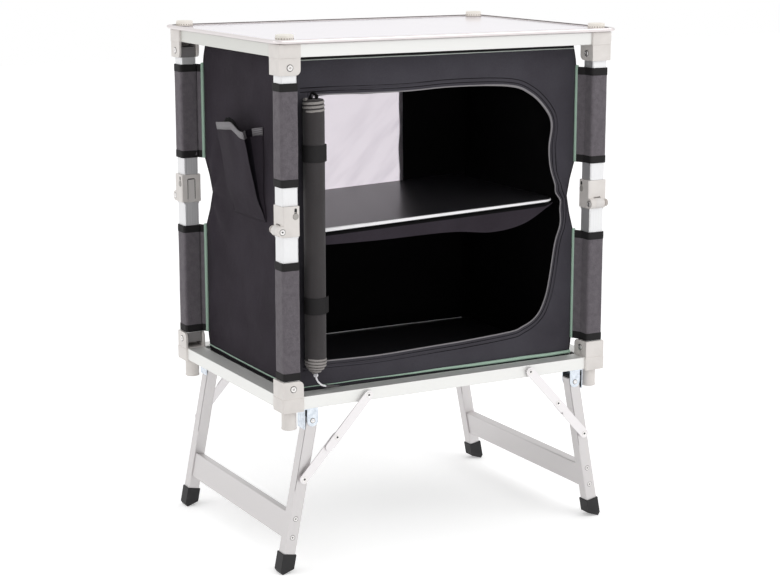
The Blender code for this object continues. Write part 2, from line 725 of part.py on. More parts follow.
def sleeve(sign_x, sign_y, low, high):
    """Sleeve round one post half, with the flap that joins it to the cabinet."""
    inner = TUBE_SIDE / 2 + GAP
    outer = inner + SLEEVE
    x, y = sign_x * CORNER_X, sign_y * CORNER_Y
    tube = prism(shifted(chamfered(outer, outer, TUBE_CHAMFER), x, y), "z", low, high)
    cut(tube, prism(shifted(chamfered(inner, inner, TUBE_CHAMFER), x, y), "z", low - 0.01, high + 0.01))
    start = Vector((x - sign_x * (inner + SLEEVE / 2 - TUBE_CHAMFER / 2),
                    y - sign_y * (inner + SLEEVE / 2 - TUBE_CHAMFER / 2)))
    end = Vector((sign_x * (WALL_X - CLOTH), sign_y * (WALL_Y - CLOTH)))
    side = (end - start).orthogonal().normalized() * SLEEVE / 2
    flap = prism([tuple(start + side), tuple(end + side), tuple(end - side), tuple(start - side)],
                 "z", low + SLEEVE_EDGE, high - SLEEVE_EDGE)
    return fuse(tube, flap)


def cloth_loft(inset, levels):
    """Solid inside the cabinet walls, its outer face drawn in by inset."""
    solid = loft([wall_ring(inset, bow, z) for z, bow in levels])
    work = bmesh.new()
    work.from_mesh(solid.data)
    bmesh.ops.triangulate(work, faces=work.faces)
    work.to_mesh(solid.data)
    work.free()
    return solid


def make_cabinet_cover():
    levels = wall_levels()
    (bottom, bottom_bow), (top, top_bow) = levels[0], levels[-1]
    reach = WAIST_BOW
    through = [(bottom - reach, bottom_bow)] + list(levels[1:-1]) + [(top + reach, top_bow)]
    cover = fuse(cloth_loft(0, levels), pocket_wedge())
    cut(cover, cloth_loft(CLOTH, through))
    cut(cover, prism(door_opening(), "y", -WALL_Y - reach, -WALL_Y + reach))
    fuse(cover, sling_sheet())
    fuse(cover, sling_edge())
    for _, sign_x, sign_y, _, _ in CORNERS:
        for low, high in sleeve_heights():
            fuse(cover, sleeve(sign_x, sign_y, low, high))
    name_and_place(cover, "cabinet_cover", "charcoal cloth")


def make_door_roll():
    """Door cloth rolled up and strapped beside the opening."""
    tuck = 0.004
    levels = [(ROLL_BOTTOM, ROLL_RADIUS - tuck), (ROLL_BOTTOM + tuck, ROLL_RADIUS)]
    half = STRAP_HEIGHT / 2
    for z in STRAP_HEIGHTS:
        levels += [(z - half - tuck, ROLL_RADIUS), (z - half, ROLL_RADIUS - tuck / 2),
                   (z + half, ROLL_RADIUS - tuck / 2), (z + half + tuck, ROLL_RADIUS)]
    levels += [(ROLL_TOP - tuck, ROLL_RADIUS), (ROLL_TOP, ROLL_RADIUS - tuck)]
    y = -WALL_Y - ROLL_RADIUS - GAP
    rings = [[(ROLL_X + a, y + b, z) for a, b in disc((0, 0), radius)] for z, radius in levels]
    roll = loft(rings)
    reach = ROLL_RADIUS + STRAP_PROUD
    for z in STRAP_HEIGHTS:
        strap = block((ROLL_X - reach, y - reach, z - half + tuck), (ROLL_X + reach, y, z + half - tuck))
        band = cylinder((ROLL_X, y), reach, "z", z - half + tuck, z + half - tuck)
        combine(band, "INTERSECT", [strap])
        fuse(roll, band)
    name_and_place(roll, "door_roll", "charcoal cloth")


# Legs

def leg_turn(side):
    """Rotation that splays a leg built straight down; side is 1 right, -1 left."""
    return (0, -side * LEG_SPLAY, 0)


def make_leg(name, side, place):
    half = LEG_SIDE / 2
    end = FOOT_SOCKET + LEG_LENGTH - FOOT_TIP
    tube = prism(chamfered(half, half, 0.0012), "z", -end, LEG_HEAD)
    bore = prism(chamfered(half - LEG_WALL, half - LEG_WALL, 0.0006), "z", -end - 0.01, LEG_HEAD - 0.001)
    cut(tube, bore)
    tip = half / 2
    cap_top = [(-half, LEG_HEAD - 0.0005), (half, LEG_HEAD - 0.0005), (half, LEG_HEAD),
               (tip, LEG_HEAD + LEG_CAP), (-tip, LEG_HEAD + LEG_CAP), (-half, LEG_HEAD)]
    fuse(tube, prism(cap_top, "y", -half + 0.0003, half - 0.0003))
    cut(tube, cylinder((0, 0), LEG_PIN_RADIUS + GAP, "y", -LEG_SIDE, LEG_SIDE, 12))
    name_and_place(tube, "leg_" + name, "aluminium", place, leg_turn(side))


def make_foot(name, side, place):
    half = LEG_SIDE / 2 + FOOT_WALL
    socket = LEG_SIDE / 2 + GAP
    top = FOOT_TIP - LEG_LENGTH
    outline = [(-side * half, top), (-side * half, top - FOOT_INNER),
               (side * FOOT_TIP_X, top - FOOT_TIP), (side * half, top - FOOT_OUTER), (side * half, top)]
    foot = prism(outline, "y", -half, half)
    cut(foot, block((-socket, -socket, top - FOOT_SOCKET - GAP), (socket, socket, top + 0.01)))
    name_and_place(foot, "foot_" + name, "black plastic", place, leg_turn(side))


def make_crossbar(name, side):
    long_half = CORNER_Y - LEG_SIDE / 2 - GAP
    tall, thick = CROSSBAR_HEIGHT / 2, CROSSBAR_THICKNESS / 2
    outer = shifted(chamfered(thick, tall, 0.0012), 0, -CROSSBAR_FROM_PIVOT)
    inner = shifted(chamfered(thick - LEG_WALL, tall - LEG_WALL, 0.0006), 0, -CROSSBAR_FROM_PIVOT)
    bar = prism(outer, "y", -long_half, long_half)
    cut(bar, prism(inner, "y", -long_half - 0.01, long_half + 0.01))
    place = (side * LEG_PIVOT_X, 0, LEG_PIVOT_Z)
    name_and_place(bar, "leg_crossbar_" + name, "aluminium", place, leg_turn(side))


def make_bracket(name, side, place):
    """Bent steel bracket: plate under the rail, two cheeks, outer stop flange."""
    top = LEG_PIVOT_DROP - GAP
    inner = LEG_SIDE / 2 + 2 * GAP
    outer = inner + BRACKET_SHEET
    cheek = BRACKET_CHEEK / 2
    flange = BRACKET_FLANGE_GAP + BRACKET_SHEET
    low_x, high_x = sorted((-side * cheek, side * flange))
    plate = block((low_x, -outer, top - BRACKET_SHEET), (high_x, outer, top))
    cheek_outline = arc((0, 0), cheek, 180, 360, 8) + [(cheek, top - GAP), (-cheek, top - GAP)]
    front = prism(cheek_outline, "y", -outer, -inner)
    rear = prism(cheek_outline, "y", inner, outer)
    near, far = sorted((side * BRACKET_FLANGE_GAP, side * flange))
    stop = block((near, -outer, -BRACKET_FLANGE_DROP), (far, outer, top - GAP))
    head = outer + RIVET_HEIGHT
    pin = cylinder((0, 0), LEG_PIN_RADIUS, "y", -head, head, 12)
    bracket = fuse(plate, front, rear, stop, pin)
    name_and_place(bracket, "leg_bracket_" + name, "zinc steel", place)


def brace_points(side):
    """Rail pivot, knee and leg pivot of a brace, as x and z in world space."""
    rail = Vector((side * BRACE_RAIL_X, BOTTOM_RAIL_Z + BRACE_RAIL_RISE))
    leg = Vector((side * (LEG_PIVOT_X + BRACE_FROM_PIVOT * math.sin(LEG_SPLAY)),
                  LEG_PIVOT_Z - BRACE_FROM_PIVOT * math.cos(LEG_SPLAY)))
    return rail, (rail + leg) / 2, leg


def link_outline(length, overlap):
    """Flat link along +x from the origin, round at both ends."""
    half = LINK_WIDTH / 2
    return arc((0, 0), half, 90, 270, 8) + arc((length + overlap, 0), half, -90, 90, 8)


def make_brace(name, side, sign_y):
    rail, knee, leg = brace_points(side)
    length = (knee - rail).length
    slope = math.atan2(rail[1] - leg[1], abs(leg[0] - rail[0]))
    turn = (0, slope if side > 0 else math.pi - slope, 0)

    upper = prism(link_outline(length, LINK_OVERLAP), "y", UPPER_LINK_Y, UPPER_LINK_Y + LINK_SHEET)
    boss = cylinder((0, 0), BRACE_BOSS, "y", RAIL_FACE + GAP, UPPER_LINK_Y + LINK_SHEET / 2, 12)
    fuse(upper, boss)
    notch = cylinder((length + LINK_OVERLAP, -side * LINK_WIDTH / 2), LINK_WIDTH / 6, "y", 0, 1, 12)
    cut(upper, notch)
    turn_over(upper, (1, sign_y, 1))
    place = (rail[0], sign_y * CORNER_Y, rail[1])
    name_and_place(upper, "brace_upper_" + name, "aluminium", place, turn)

    lower = prism(link_outline(length, 0), "y", LOWER_LINK_Y, LOWER_LINK_Y + LINK_SHEET)
    leg_face = LEG_SIDE / 2
    foot_boss = cylinder((length, 0), BRACE_BOSS, "y", leg_face + GAP, LOWER_LINK_Y + LINK_SHEET / 2, 12)
    fuse(lower, foot_boss)
    turn_over(lower, (1, sign_y, 1))
    place = (knee[0], sign_y * CORNER_Y, knee[1])
    name_and_place(lower, "brace_lower_" + name, "aluminium", place, turn)


def make_legs():
    for name, sign_x, sign_y, _, _ in CORNERS:
        place = (sign_x * LEG_PIVOT_X, sign_y * CORNER_Y, LEG_PIVOT_Z)
        make_leg(name, sign_x, place)
        make_foot(name, sign_x, place)
        make_bracket(name, sign_x, place)
        make_brace(name, sign_x, sign_y)
    make_crossbar("left", -1)
    make_crossbar("right", 1)


def main():
    clear_scene()
    make_corner_blocks()
    make_rails()
    make_posts()
    make_worktop()
    make_floor_board()
    make_shelf_board()
    make_cabinet_cover()
    make_door_roll()
    make_legs()


main()
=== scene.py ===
"""Folding camping cupboard, dressed for its picture.

A cloth cabinet hangs between four folding posts with a worktop, on two pairs of splayed legs. Front is -Y,
right is +X and up is +Z. Lengths are in metres, and the sizes of patterns in millimetres.
"""
import json
import logging
import math
from collections import defaultdict
from dataclasses import dataclass
from enum import Enum
from functools import lru_cache
from typing import Callable, Iterable, Optional, Protocol, Sequence, Union

import bmesh
import bpy
from mathutils import Matrix, Vector, noise

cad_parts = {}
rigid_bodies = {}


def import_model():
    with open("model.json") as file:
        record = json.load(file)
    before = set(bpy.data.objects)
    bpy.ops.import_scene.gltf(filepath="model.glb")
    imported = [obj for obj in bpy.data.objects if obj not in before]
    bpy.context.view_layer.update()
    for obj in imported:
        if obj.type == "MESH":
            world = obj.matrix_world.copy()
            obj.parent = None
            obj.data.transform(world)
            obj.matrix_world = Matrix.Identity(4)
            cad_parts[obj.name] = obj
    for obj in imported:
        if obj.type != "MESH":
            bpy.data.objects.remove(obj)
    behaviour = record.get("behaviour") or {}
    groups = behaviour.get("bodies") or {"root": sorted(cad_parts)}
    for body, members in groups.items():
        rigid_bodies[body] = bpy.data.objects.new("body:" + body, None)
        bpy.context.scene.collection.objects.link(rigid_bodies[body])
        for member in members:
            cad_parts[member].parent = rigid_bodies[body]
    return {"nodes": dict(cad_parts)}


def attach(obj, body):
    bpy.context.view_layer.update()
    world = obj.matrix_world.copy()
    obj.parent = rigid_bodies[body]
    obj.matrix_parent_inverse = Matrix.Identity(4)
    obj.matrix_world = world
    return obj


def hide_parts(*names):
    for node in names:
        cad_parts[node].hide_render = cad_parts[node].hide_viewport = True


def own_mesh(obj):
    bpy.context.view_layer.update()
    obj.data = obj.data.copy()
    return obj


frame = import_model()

LOG = logging.getLogger("cupboard")
NODES = frame["nodes"]

for startup_object in [o for o in bpy.data.objects if o.name in ("Cube", "Light", "Camera")]:
    bpy.data.objects.remove(startup_object)
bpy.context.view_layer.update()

# Kinds of value that many fields have: a row of pairs, and three lengths.
Pairs = tuple[tuple[float, float], ...]
Triple = tuple[float, float, float]

# The frame's own measures, which the cloth and the fittings are worked out from.
CORNER_X, CORNER_Y = 0.280, 0.191
LOWER_PIN_Z, LOCK_PIN_Z, UPPER_PIN_Z = 0.2987, 0.5437, 0.7887
WALL_X, WALL_Y = 0.25725, 0.16825
WALL_LOW, WALL_HIGH = 0.2814, 0.8230
WALL_TALL = WALL_HIGH - WALL_LOW
SLEEVE_SPANS = {"lower": (0.3112, 0.4952), "upper": (0.6097, 0.7657)}
LEG_SPLAY = math.radians(11.0)
LEG_PIVOT_X, LEG_PIVOT_Z = 0.245, 0.2433

# The four sides of a rectangle's corners, anticlockwise from the one at the right and the rear.
QUARTERS = ((1, 1), (-1, 1), (-1, -1), (1, -1))


class Corner(Enum):
    """The corners of the cupboard: short name, sides in X and Y, and the way the post folds."""

    FRONT_LEFT = ("fl", -1, -1, (1, 0))
    FRONT_RIGHT = ("fr", 1, -1, (0, 1))
    REAR_RIGHT = ("rr", 1, 1, (-1, 0))
    REAR_LEFT = ("rl", -1, 1, (0, -1))

    def __init__(self, code: str, side_x: int, side_y: int, fold: tuple[int, int]) -> None:
        """Keep the corner's facts under readable names."""
        self.code, self.side_x, self.side_y = code, side_x, side_y
        self.fold = Vector((fold[0], fold[1], 0.0))

    @property
    def centre(self) -> Vector:
        """The middle of the post in plan."""
        return Vector((self.side_x * CORNER_X, self.side_y * CORNER_Y, 0.0))

    @property
    def pin_axis(self) -> Vector:
        """The direction of the post's three hinge pins."""
        return Vector((abs(self.fold.y), abs(self.fold.x), 0.0))


class Side(Enum):
    """The four walls of the cabinet: the corners at their start and end, and the way they face."""

    FRONT = (Corner.FRONT_LEFT, Corner.FRONT_RIGHT, (0, -1))
    RIGHT = (Corner.FRONT_RIGHT, Corner.REAR_RIGHT, (1, 0))
    REAR = (Corner.REAR_RIGHT, Corner.REAR_LEFT, (0, 1))
    LEFT = (Corner.REAR_LEFT, Corner.FRONT_LEFT, (-1, 0))

    def __init__(self, first: Corner, last: Corner, out: tuple[int, int]) -> None:
        """Keep its corners, the way it faces, and the axis that it runs along: 0 for X, 1 for Y."""
        self.corners, self.out = (first, last), Vector((out[0], out[1], 0.0))
        self.axis = 0 if out[1] else 1


# Nodes and finishes


def linear(colour: str) -> tuple[float, ...]:
    """Turn an sRGB hex colour into red, green and blue in linear light, and an alpha of 1."""
    parts = [int(colour[i:i + 2], 16) / 255 for i in (1, 3, 5)]
    return (*(p / 12.92 if p <= 0.04045 else ((p + 0.055) / 1.055) ** 2.4 for p in parts), 1.0)


def per_metre(millimetres: float) -> float:
    """How many repeats of a pattern that size fit in a metre, which is its scale in a texture."""
    return 1000.0 / millimetres


def add_node(
    tree: bpy.types.NodeTree, kind: str, inputs: Optional[dict] = None, **settings: object
) -> bpy.types.Node:
    """Add one node with its settings and links.

    Args:
        tree: The node tree that gets it.
        kind: Its type's name, such as ShaderNodeMix.
        inputs: Sockets by name or number, each with a plain value, a socket to link from, or a node whose
            first usable output is linked.
        settings: The node's own settings, such as operation="MULTIPLY".

    Returns:
        The node.
    """
    node = tree.nodes.new(kind)
    for name, value in settings.items():
        setattr(node, name, value)
    for key, value in (inputs or {}).items():
        if isinstance(value, bpy.types.Node):
            value = next(socket for socket in value.outputs if socket.enabled)
        if isinstance(value, bpy.types.NodeSocket):
            tree.links.new(value, node.inputs[key])
        else:
            node.inputs[key].default_value = value
    return node


def seen_directly(tree: bpy.types.NodeTree) -> bpy.types.Node:
    """Add nodes that give 1 for camera, glossy and transmission rays, and 0 for those that light the object.

    Args:
        tree: The node tree that gets them.

    Returns:
        The last of them.
    """
    rays = add_node(tree, "ShaderNodeLightPath").outputs
    shine = add_node(tree, "ShaderNodeMath", {
        0: rays["Is Glossy Ray"], 1: rays["Is Transmission Ray"]}, operation="MAXIMUM")
    return add_node(tree, "ShaderNodeMath", {0: rays["Is Camera Ray"], 1: shine}, operation="MAXIMUM")


class Coat:
    """A material being mixed: its shader, and the point on the piece that its patterns are drawn from."""

    def __init__(self, name: str, sockets: dict) -> None:
        """Start the material.

        Args:
            name: The material's name.
            sockets: Values for the shader's own sockets.
        """
        self.material = bpy.data.materials.new(name)
        self.material.use_nodes = True
        self.tree = self.material.node_tree
        self.shader = next(n for n in self.tree.nodes if n.type == "BSDF_PRINCIPLED")
        for key, value in sockets.items():
            self.shader.inputs[key].default_value = value
        self.point = add_node(self.tree, "ShaderNodeTexCoord").outputs["Object"]
        self.axes = add_node(self.tree, "ShaderNodeSeparateXYZ", {0: self.point}).outputs

    def node(self, kind: str, inputs: Optional[dict] = None, **settings: object) -> bpy.types.Node:
        """Add a node to this material; see add_node."""
        return add_node(self.tree, kind, inputs, **settings)

    def drive(self, socket: str, source: bpy.types.Node) -> None:
        """Let a node's first usable output drive one of the shader's sockets."""
        self.tree.links.new(next(s for s in source.outputs if s.enabled), self.shader.inputs[socket])

    def stripes(self, run: object, size_mm: float) -> bpy.types.Node:
        """Draw regular lines that far apart, counted along a run of lengths."""
        turns = self.node("ShaderNodeMath", {0: run, 1: math.tau * per_metre(size_mm)}, operation="MULTIPLY")
        return self.node("ShaderNodeMath", {0: turns}, operation="SINE")

    def relief(self, heights: Sequence[tuple[object, float]]) -> None:
        """Raise the surface by several patterns, one bump on the other.

        Args:
            heights: Each pattern's node with its height in millimetres.
        """
        normal: Optional[bpy.types.Node] = None
        for height, millimetres in heights:
            inputs = {"Height": height, "Distance": millimetres / 1000.0, "Strength": 1.0}
            if normal is not None:
                inputs["Normal"] = normal
            normal = self.node("ShaderNodeBump", inputs)
        self.drive("Normal", normal)


@dataclass(frozen=True)
class Mottle:
    """An irregular pattern in a surface: its size as drawn, its depth in the relief and its fineness.

    It is drawn as noise, which lies round 0.5. The contrast is the stretch of its values that is spread out
    from 0 to the strength.
    """

    size_mm: float
    deep_mm: float = 0.0
    detail: float = 2.0
    contrast: tuple[float, float] = (0.0, 1.0)
    strength: float = 1.0

    def draw(self, coat: Coat, point: Optional[bpy.types.Node] = None) -> bpy.types.Node:
        """Draw the pattern.

        Args:
            coat: The material that gets it.
            point: What gives its points, where they aren't the piece's own.

        Returns:
            Its node.
        """
        spots = coat.node("ShaderNodeTexNoise", {
            "Vector": point or coat.point, "Scale": per_metre(self.size_mm), "Detail": self.detail})
        low, high = self.contrast
        return coat.node("ShaderNodeMapRange", {0: spots, 1: low, 2: high, 4: self.strength})


class Finish(Protocol):
    """What every finish can do."""

    def build(self) -> bpy.types.Material:
        """Make the material."""


@dataclass(frozen=True)
class AnodisedAluminium:
    """Aluminium tube, extruded and satin anodised: it mirrors its surroundings softly, a little warm."""

    name: str
    colour: str
    roughness: float = 0.36
    groove_mm: float = 0.0
    groove_deep_mm: float = 0.05
    line: Mottle = Mottle(1.4, 0.002, 1.0)
    line_run: float = 0.02

    def build(self) -> bpy.types.Material:
        """Make the metal, with faint draw lines and, on the posts, the shallow grooves of the extrusion.

        Returns:
            The material.
        """
        coat = Coat(self.name, {
            "Base Color": linear(self.colour), "Metallic": 1.0, "Roughness": self.roughness})
        heights = [(self.draw_lines(coat), self.line.deep_mm)]
        if self.groove_mm > 0.0:
            heights.append((self.grooves(coat), self.groove_deep_mm))
        coat.relief(heights)
        return coat.material

    def draw_lines(self, coat: Coat) -> bpy.types.Node:
        """Draw fine lines along the tube, 1.4 mm apart instead of a tenth of that, so that they just show.

        Args:
            coat: The material that gets them.

        Returns:
            The lines' node.
        """
        across = coat.node("ShaderNodeMath", {0: coat.axes[0], 1: coat.axes[1]}, operation="ADD")
        along = coat.node("ShaderNodeMath", {0: coat.axes[2], 1: self.line_run}, operation="MULTIPLY")
        return self.line.draw(coat, coat.node("ShaderNodeCombineXYZ", {0: across, 2: along}))

    def grooves(self, coat: Coat) -> bpy.types.Node:
        """Draw the extrusion's grooves, counted from the post's middle line on each of its faces.

        Args:
            coat: The material that gets them.

        Returns:
            The grooves' node.
        """
        waves = []
        for axis, centre in enumerate((CORNER_X, CORNER_Y)):
            size = coat.node("ShaderNodeMath", {0: coat.axes[axis]}, operation="ABSOLUTE")
            first = centre - self.groove_mm / 4000.0
            start = coat.node("ShaderNodeMath", {0: size, 1: first}, operation="SUBTRACT")
            waves.append(coat.stripes(start, self.groove_mm))
        return coat.node("ShaderNodeMath", {0: waves[0], 1: waves[1]}, operation="MULTIPLY")


@dataclass(frozen=True)
class CloudedSkin:
    """A hard skin in two close shades that drift into each other, with a faint relief."""

    name: str
    colour: str
    shade: str
    roughness: float
    cloud: Mottle
    grains: tuple[Mottle, ...]
    settings: tuple[tuple[str, float], ...]

    def build(self) -> bpy.types.Material:
        """Make the skin.

        Returns:
            The material.
        """
        coat = Coat(self.name, {"Roughness": self.roughness, **dict(self.settings)})
        coat.drive("Base Color", coat.node("ShaderNodeMix", {
            0: self.cloud.draw(coat), 6: linear(self.colour), 7: linear(self.shade)}, data_type="RGBA"))
        coat.relief([(grain.draw(coat), grain.deep_mm) for grain in self.grains])
        return coat.material


@dataclass(frozen=True)
class MouldedNylon(CloudedSkin):
    """Glass-filled nylon, injection moulded: a dull satin skin with a grain and shallow sink marks.

    The grain is drawn 0.7 mm across, about five times the real one, so that it shows.
    """

    roughness: float = 0.42
    cloud: Mottle = Mottle(26.0, contrast=(0.35, 0.65))
    grains: tuple[Mottle, ...] = (Mottle(0.7, 0.008), Mottle(9.0, 0.015))
    settings: tuple[tuple[str, float], ...] = (("IOR", 1.52), ("Specular IOR Level", 0.45))


@dataclass(frozen=True)
class Laminate(CloudedSkin):
    """Melamine laminate: an even colour under a clear gloss, with the slight orange peel of its press plate.

    Its grain is drawn 0.8 mm across, four times the real one, so that it shows.
    """

    roughness: float = 0.16
    cloud: Mottle = Mottle(90.0)
    grains: tuple[Mottle, ...] = (Mottle(9.0, 0.012), Mottle(0.8, 0.004))
    settings: tuple[tuple[str, float], ...] = (("IOR", 1.5), ("Coat Weight", 0.3), ("Coat Roughness", 0.06))


@dataclass(frozen=True)
class ZincPlate(CloudedSkin):
    """Pressed steel, bright zinc plated: a cool mirror with the faint blue spangle of the bath."""

    roughness: float = 0.2
    cloud: Mottle = Mottle(7.0, 0.008, 3.0, (0.3, 0.7))
    grains: tuple[Mottle, ...] = (Mottle(7.0, 0.008, 3.0, (0.3, 0.7)),)
    settings: tuple[tuple[str, float], ...] = (("Metallic", 1.0),)


class Zone(Enum):
    """Where a tube's plastic fittings begin: below the first height or above the second."""

    LOWER_POST = (0.3102, 0.5345)
    UPPER_POST = (0.0, 0.7772)
    LEG = (0.0, 0.2500)


@dataclass(frozen=True)
class TubeWithFittings:
    """An anodised tube whose end fittings are moulded nylon: metal between, dull plastic at the ends."""

    name: str
    tube: AnodisedAluminium
    zone: Zone
    low_plastic: str
    high_plastic: str
    plastic_roughness: float = 0.42

    def build(self) -> bpy.types.Material:
        """Make the metal, and turn it to plastic below and above the tube's own ends.

        Returns:
            The material.
        """
        coat = Coat(self.name, {})
        low_end, high_end = self.zone.value
        low = coat.node("ShaderNodeMath", {0: coat.axes[2], 1: low_end}, operation="LESS_THAN")
        high = coat.node("ShaderNodeMath", {0: coat.axes[2], 1: high_end}, operation="GREATER_THAN")
        plastic = coat.node("ShaderNodeMath", {0: low, 1: high}, operation="MAXIMUM")
        metallic = coat.node("ShaderNodeMath", {0: 1.0, 1: plastic}, operation="SUBTRACT")
        fitting = coat.node("ShaderNodeMix", {
            0: high, 6: linear(self.low_plastic), 7: linear(self.high_plastic)}, data_type="RGBA")
        coat.drive("Base Color", coat.node("ShaderNodeMix", {
            0: plastic, 6: linear(self.tube.colour), 7: fitting}, data_type="RGBA"))
        coat.drive("Metallic", metallic)
        coat.drive("Roughness", coat.node("ShaderNodeMapRange", {
            0: plastic, 3: self.tube.roughness, 4: self.plastic_roughness}))
        if self.tube.groove_mm > 0.0:
            ribs, deep_mm = self.tube.grooves(coat), self.tube.groove_deep_mm
        else:
            ribs, deep_mm = self.tube.draw_lines(coat), self.tube.line.deep_mm
        coat.relief([(coat.node("ShaderNodeMath", {0: ribs, 1: metallic}, operation="MULTIPLY"), deep_mm)])
        return coat.material


@dataclass(frozen=True)
class WovenPolyester:
    """Polyester, plain woven: matt, with a fine basket of threads and a faint sheen at its edges."""

    name: str
    colour: str
    thread: str
    thread_mm: float = 1.1
    thread_deep_mm: float = 0.05
    slub: Mottle = Mottle(1.6, 0.06, 3.0, (0.3, 0.7))
    slub_share: float = 0.45
    cloud: Mottle = Mottle(70.0, 0.0, 3.0, (0.35, 0.65), 0.55)
    crease: Mottle = Mottle(38.0, 0.7, 4.0)
    sheen: float = 0.12
    gleam: float = 0.25

    def build(self) -> bpy.types.Material:
        """Make the cloth: its threads are drawn 1.1 mm apart, twice the real spacing, so that they show.

        Returns:
            The material.
        """
        coat = Coat(self.name, {
            "Roughness": 0.82, "IOR": 1.45, "Specular IOR Level": self.gleam,
            "Sheen Weight": self.sheen, "Sheen Roughness": 0.5})
        across = coat.node("ShaderNodeMath", {0: coat.axes[0], 1: coat.axes[1]}, operation="ADD")
        warp, weft = (coat.stripes(run, self.thread_mm) for run in (across, coat.axes[2]))
        weave = coat.node("ShaderNodeMath", {0: warp, 1: weft}, operation="MULTIPLY")
        slub = self.slub.draw(coat)
        faint = coat.node("ShaderNodeMath", {0: slub, 1: self.slub_share}, operation="MULTIPLY")
        share = coat.node("ShaderNodeMath", {0: faint, 1: self.cloud.draw(coat)}, operation="ADD")
        coat.drive("Base Color", coat.node("ShaderNodeMix", {
            0: share, 6: linear(self.colour), 7: linear(self.thread)}, data_type="RGBA"))
        coat.relief([(self.crease.draw(coat), self.crease.deep_mm), (weave, self.thread_deep_mm),
                     (slub, self.slub.deep_mm)])
        return coat.material


@dataclass(frozen=True)
class BrushedFleece:
    """Polyester felt, brushed: soft, mottled fibres that catch light at the edges."""

    name: str = "brushed_fleece"
    colour: str = "#5c575c"
    shade: str = "#716c71"
    fibre: Mottle = Mottle(1.3, 0.2, 4.0, (0.32, 0.68))
    clump: Mottle = Mottle(9.0, 0.25, 3.0, (0.35, 0.65))
    clump_share: float = 0.4

    def build(self) -> bpy.types.Material:
        """Make the felt: fibres drawn 1.3 mm long in clumps, which is as fine as shows.

        Returns:
            The material.
        """
        coat = Coat(self.name, {
            "Roughness": 0.95, "IOR": 1.4, "Specular IOR Level": 0.15,
            "Sheen Weight": 0.2, "Sheen Roughness": 0.4})
        fibre, clump = self.fibre.draw(coat), self.clump.draw(coat)
        share = coat.node("ShaderNodeMix", {0: self.clump_share, 2: fibre, 3: clump}, data_type="FLOAT")
        coat.drive("Base Color", coat.node("ShaderNodeMix", {
            0: share, 6: linear(self.colour), 7: linear(self.shade)}, data_type="RGBA"))
        coat.relief([(clump, self.clump.deep_mm), (fibre, self.fibre.deep_mm)])
        return coat.material


@dataclass(frozen=True)
class RibbedTape:
    """Polyester tape or cord cover, narrow woven: fine ribs across its length, with a dull gleam."""

    name: str
    colour: str
    rib: str
    rib_mm: float = 1.8
    rib_deep_mm: float = 0.15
    roughness: float = 0.6
    sheen: float = 0.1
    yarn: Mottle = Mottle(0.9, 0.05)

    def build(self) -> bpy.types.Material:
        """Make the tape: its ribs are drawn about twice as wide as real ones, so that they show.

        Returns:
            The material.
        """
        coat = Coat(self.name, {
            "Roughness": self.roughness, "IOR": 1.46, "Specular IOR Level": 0.3,
            "Sheen Weight": self.sheen, "Sheen Roughness": 0.4})
        level = coat.node("ShaderNodeMath", {0: coat.axes[0], 1: coat.axes[1]}, operation="ADD")
        run = coat.node("ShaderNodeMath", {0: level, 1: coat.axes[2]}, operation="ADD")
        ribs = coat.node("ShaderNodeMapRange", {0: coat.stripes(run, self.rib_mm), 1: -1.0, 2: 1.0})
        coat.drive("Base Color", coat.node("ShaderNodeMix", {
            0: ribs, 6: linear(self.colour), 7: linear(self.rib)}, data_type="RGBA"))
        coat.relief([(ribs, self.rib_deep_mm), (self.yarn.draw(coat), self.yarn.deep_mm)])
        return coat.material


@dataclass(frozen=True)
class FrostedFilm:
    """Vinyl sheet, calendered milky: it scatters the daylight it lets through; its creases' shade is painted
    grey.
    """

    name: str = "frosted_vinyl"
    colour: str = "#f5eef5"
    shade: str = "#e3dce4"
    roughness: float = 0.46
    clearness: float = 0.86
    crease: Mottle = Mottle(22.0, 0.7, contrast=(0.46, 0.68))
    crease_run: float = 5.0
    crease_turn: float = math.radians(47.0)
    crease_least: float = 0.12
    smooth_below: float = -0.70
    creased_above: float = -0.52

    def build(self) -> bpy.types.Material:
        """Make the film: most light passes, with slanting creases painted grey as shade towards its lower
        right corner.

        Returns:
            The material.
        """
        coat = Coat(self.name, {
            "Roughness": self.roughness, "IOR": 1.3, "Transmission Weight": self.clearness})
        slant = coat.node("ShaderNodeMapping", {
            "Vector": coat.point, "Rotation": (0.0, self.crease_turn, 0.0),
            "Scale": (1.0, 1.0, self.crease_run)}, vector_type="TEXTURE")
        corner = coat.node("ShaderNodeMath", {0: coat.axes[0], 1: coat.axes[2]}, operation="SUBTRACT")
        reach = coat.node("ShaderNodeMapRange", {
            0: corner, 1: self.smooth_below, 2: self.creased_above, 3: self.crease_least, 4: 1.0})
        # The creases' grey is painted shade.
        folds = {0: self.crease.draw(coat, slant), 1: reach}
        share = coat.node("ShaderNodeMath", folds, operation="MULTIPLY")
        coat.drive("Base Color", coat.node("ShaderNodeMix", {
            0: share, 6: linear(self.colour), 7: linear(self.shade)}, data_type="RGBA"))
        coat.relief([(share, self.crease.deep_mm)])
        return coat.material


@dataclass(frozen=True)
class StudioPaper:
    """Paper on the studio floor, matt: white to the camera, and grey only in the object's soft shadow."""

    name: str = "studio_paper"
    colour: str = "#fbfbfb"
    lift: float = 0.32

    def build(self) -> bpy.types.Material:
        """Make the paper, lifted to white for camera, glossy and transmission rays alone.

        Returns:
            The material.
        """
        material = bpy.data.materials.new(self.name)
        material.use_nodes = True
        tree = material.node_tree
        tree.nodes.clear()
        lift = add_node(tree, "ShaderNodeMath", {0: seen_directly(tree), 1: self.lift}, operation="MULTIPLY")
        paper = add_node(tree, "ShaderNodeBsdfDiffuse", {"Color": linear(self.colour)})
        glow = add_node(tree, "ShaderNodeEmission", {"Color": linear("#ffffff"), "Strength": lift})
        both = add_node(tree, "ShaderNodeAddShader", {0: paper, 1: glow})
        add_node(tree, "ShaderNodeOutputMaterial", {"Surface": both})
        return material


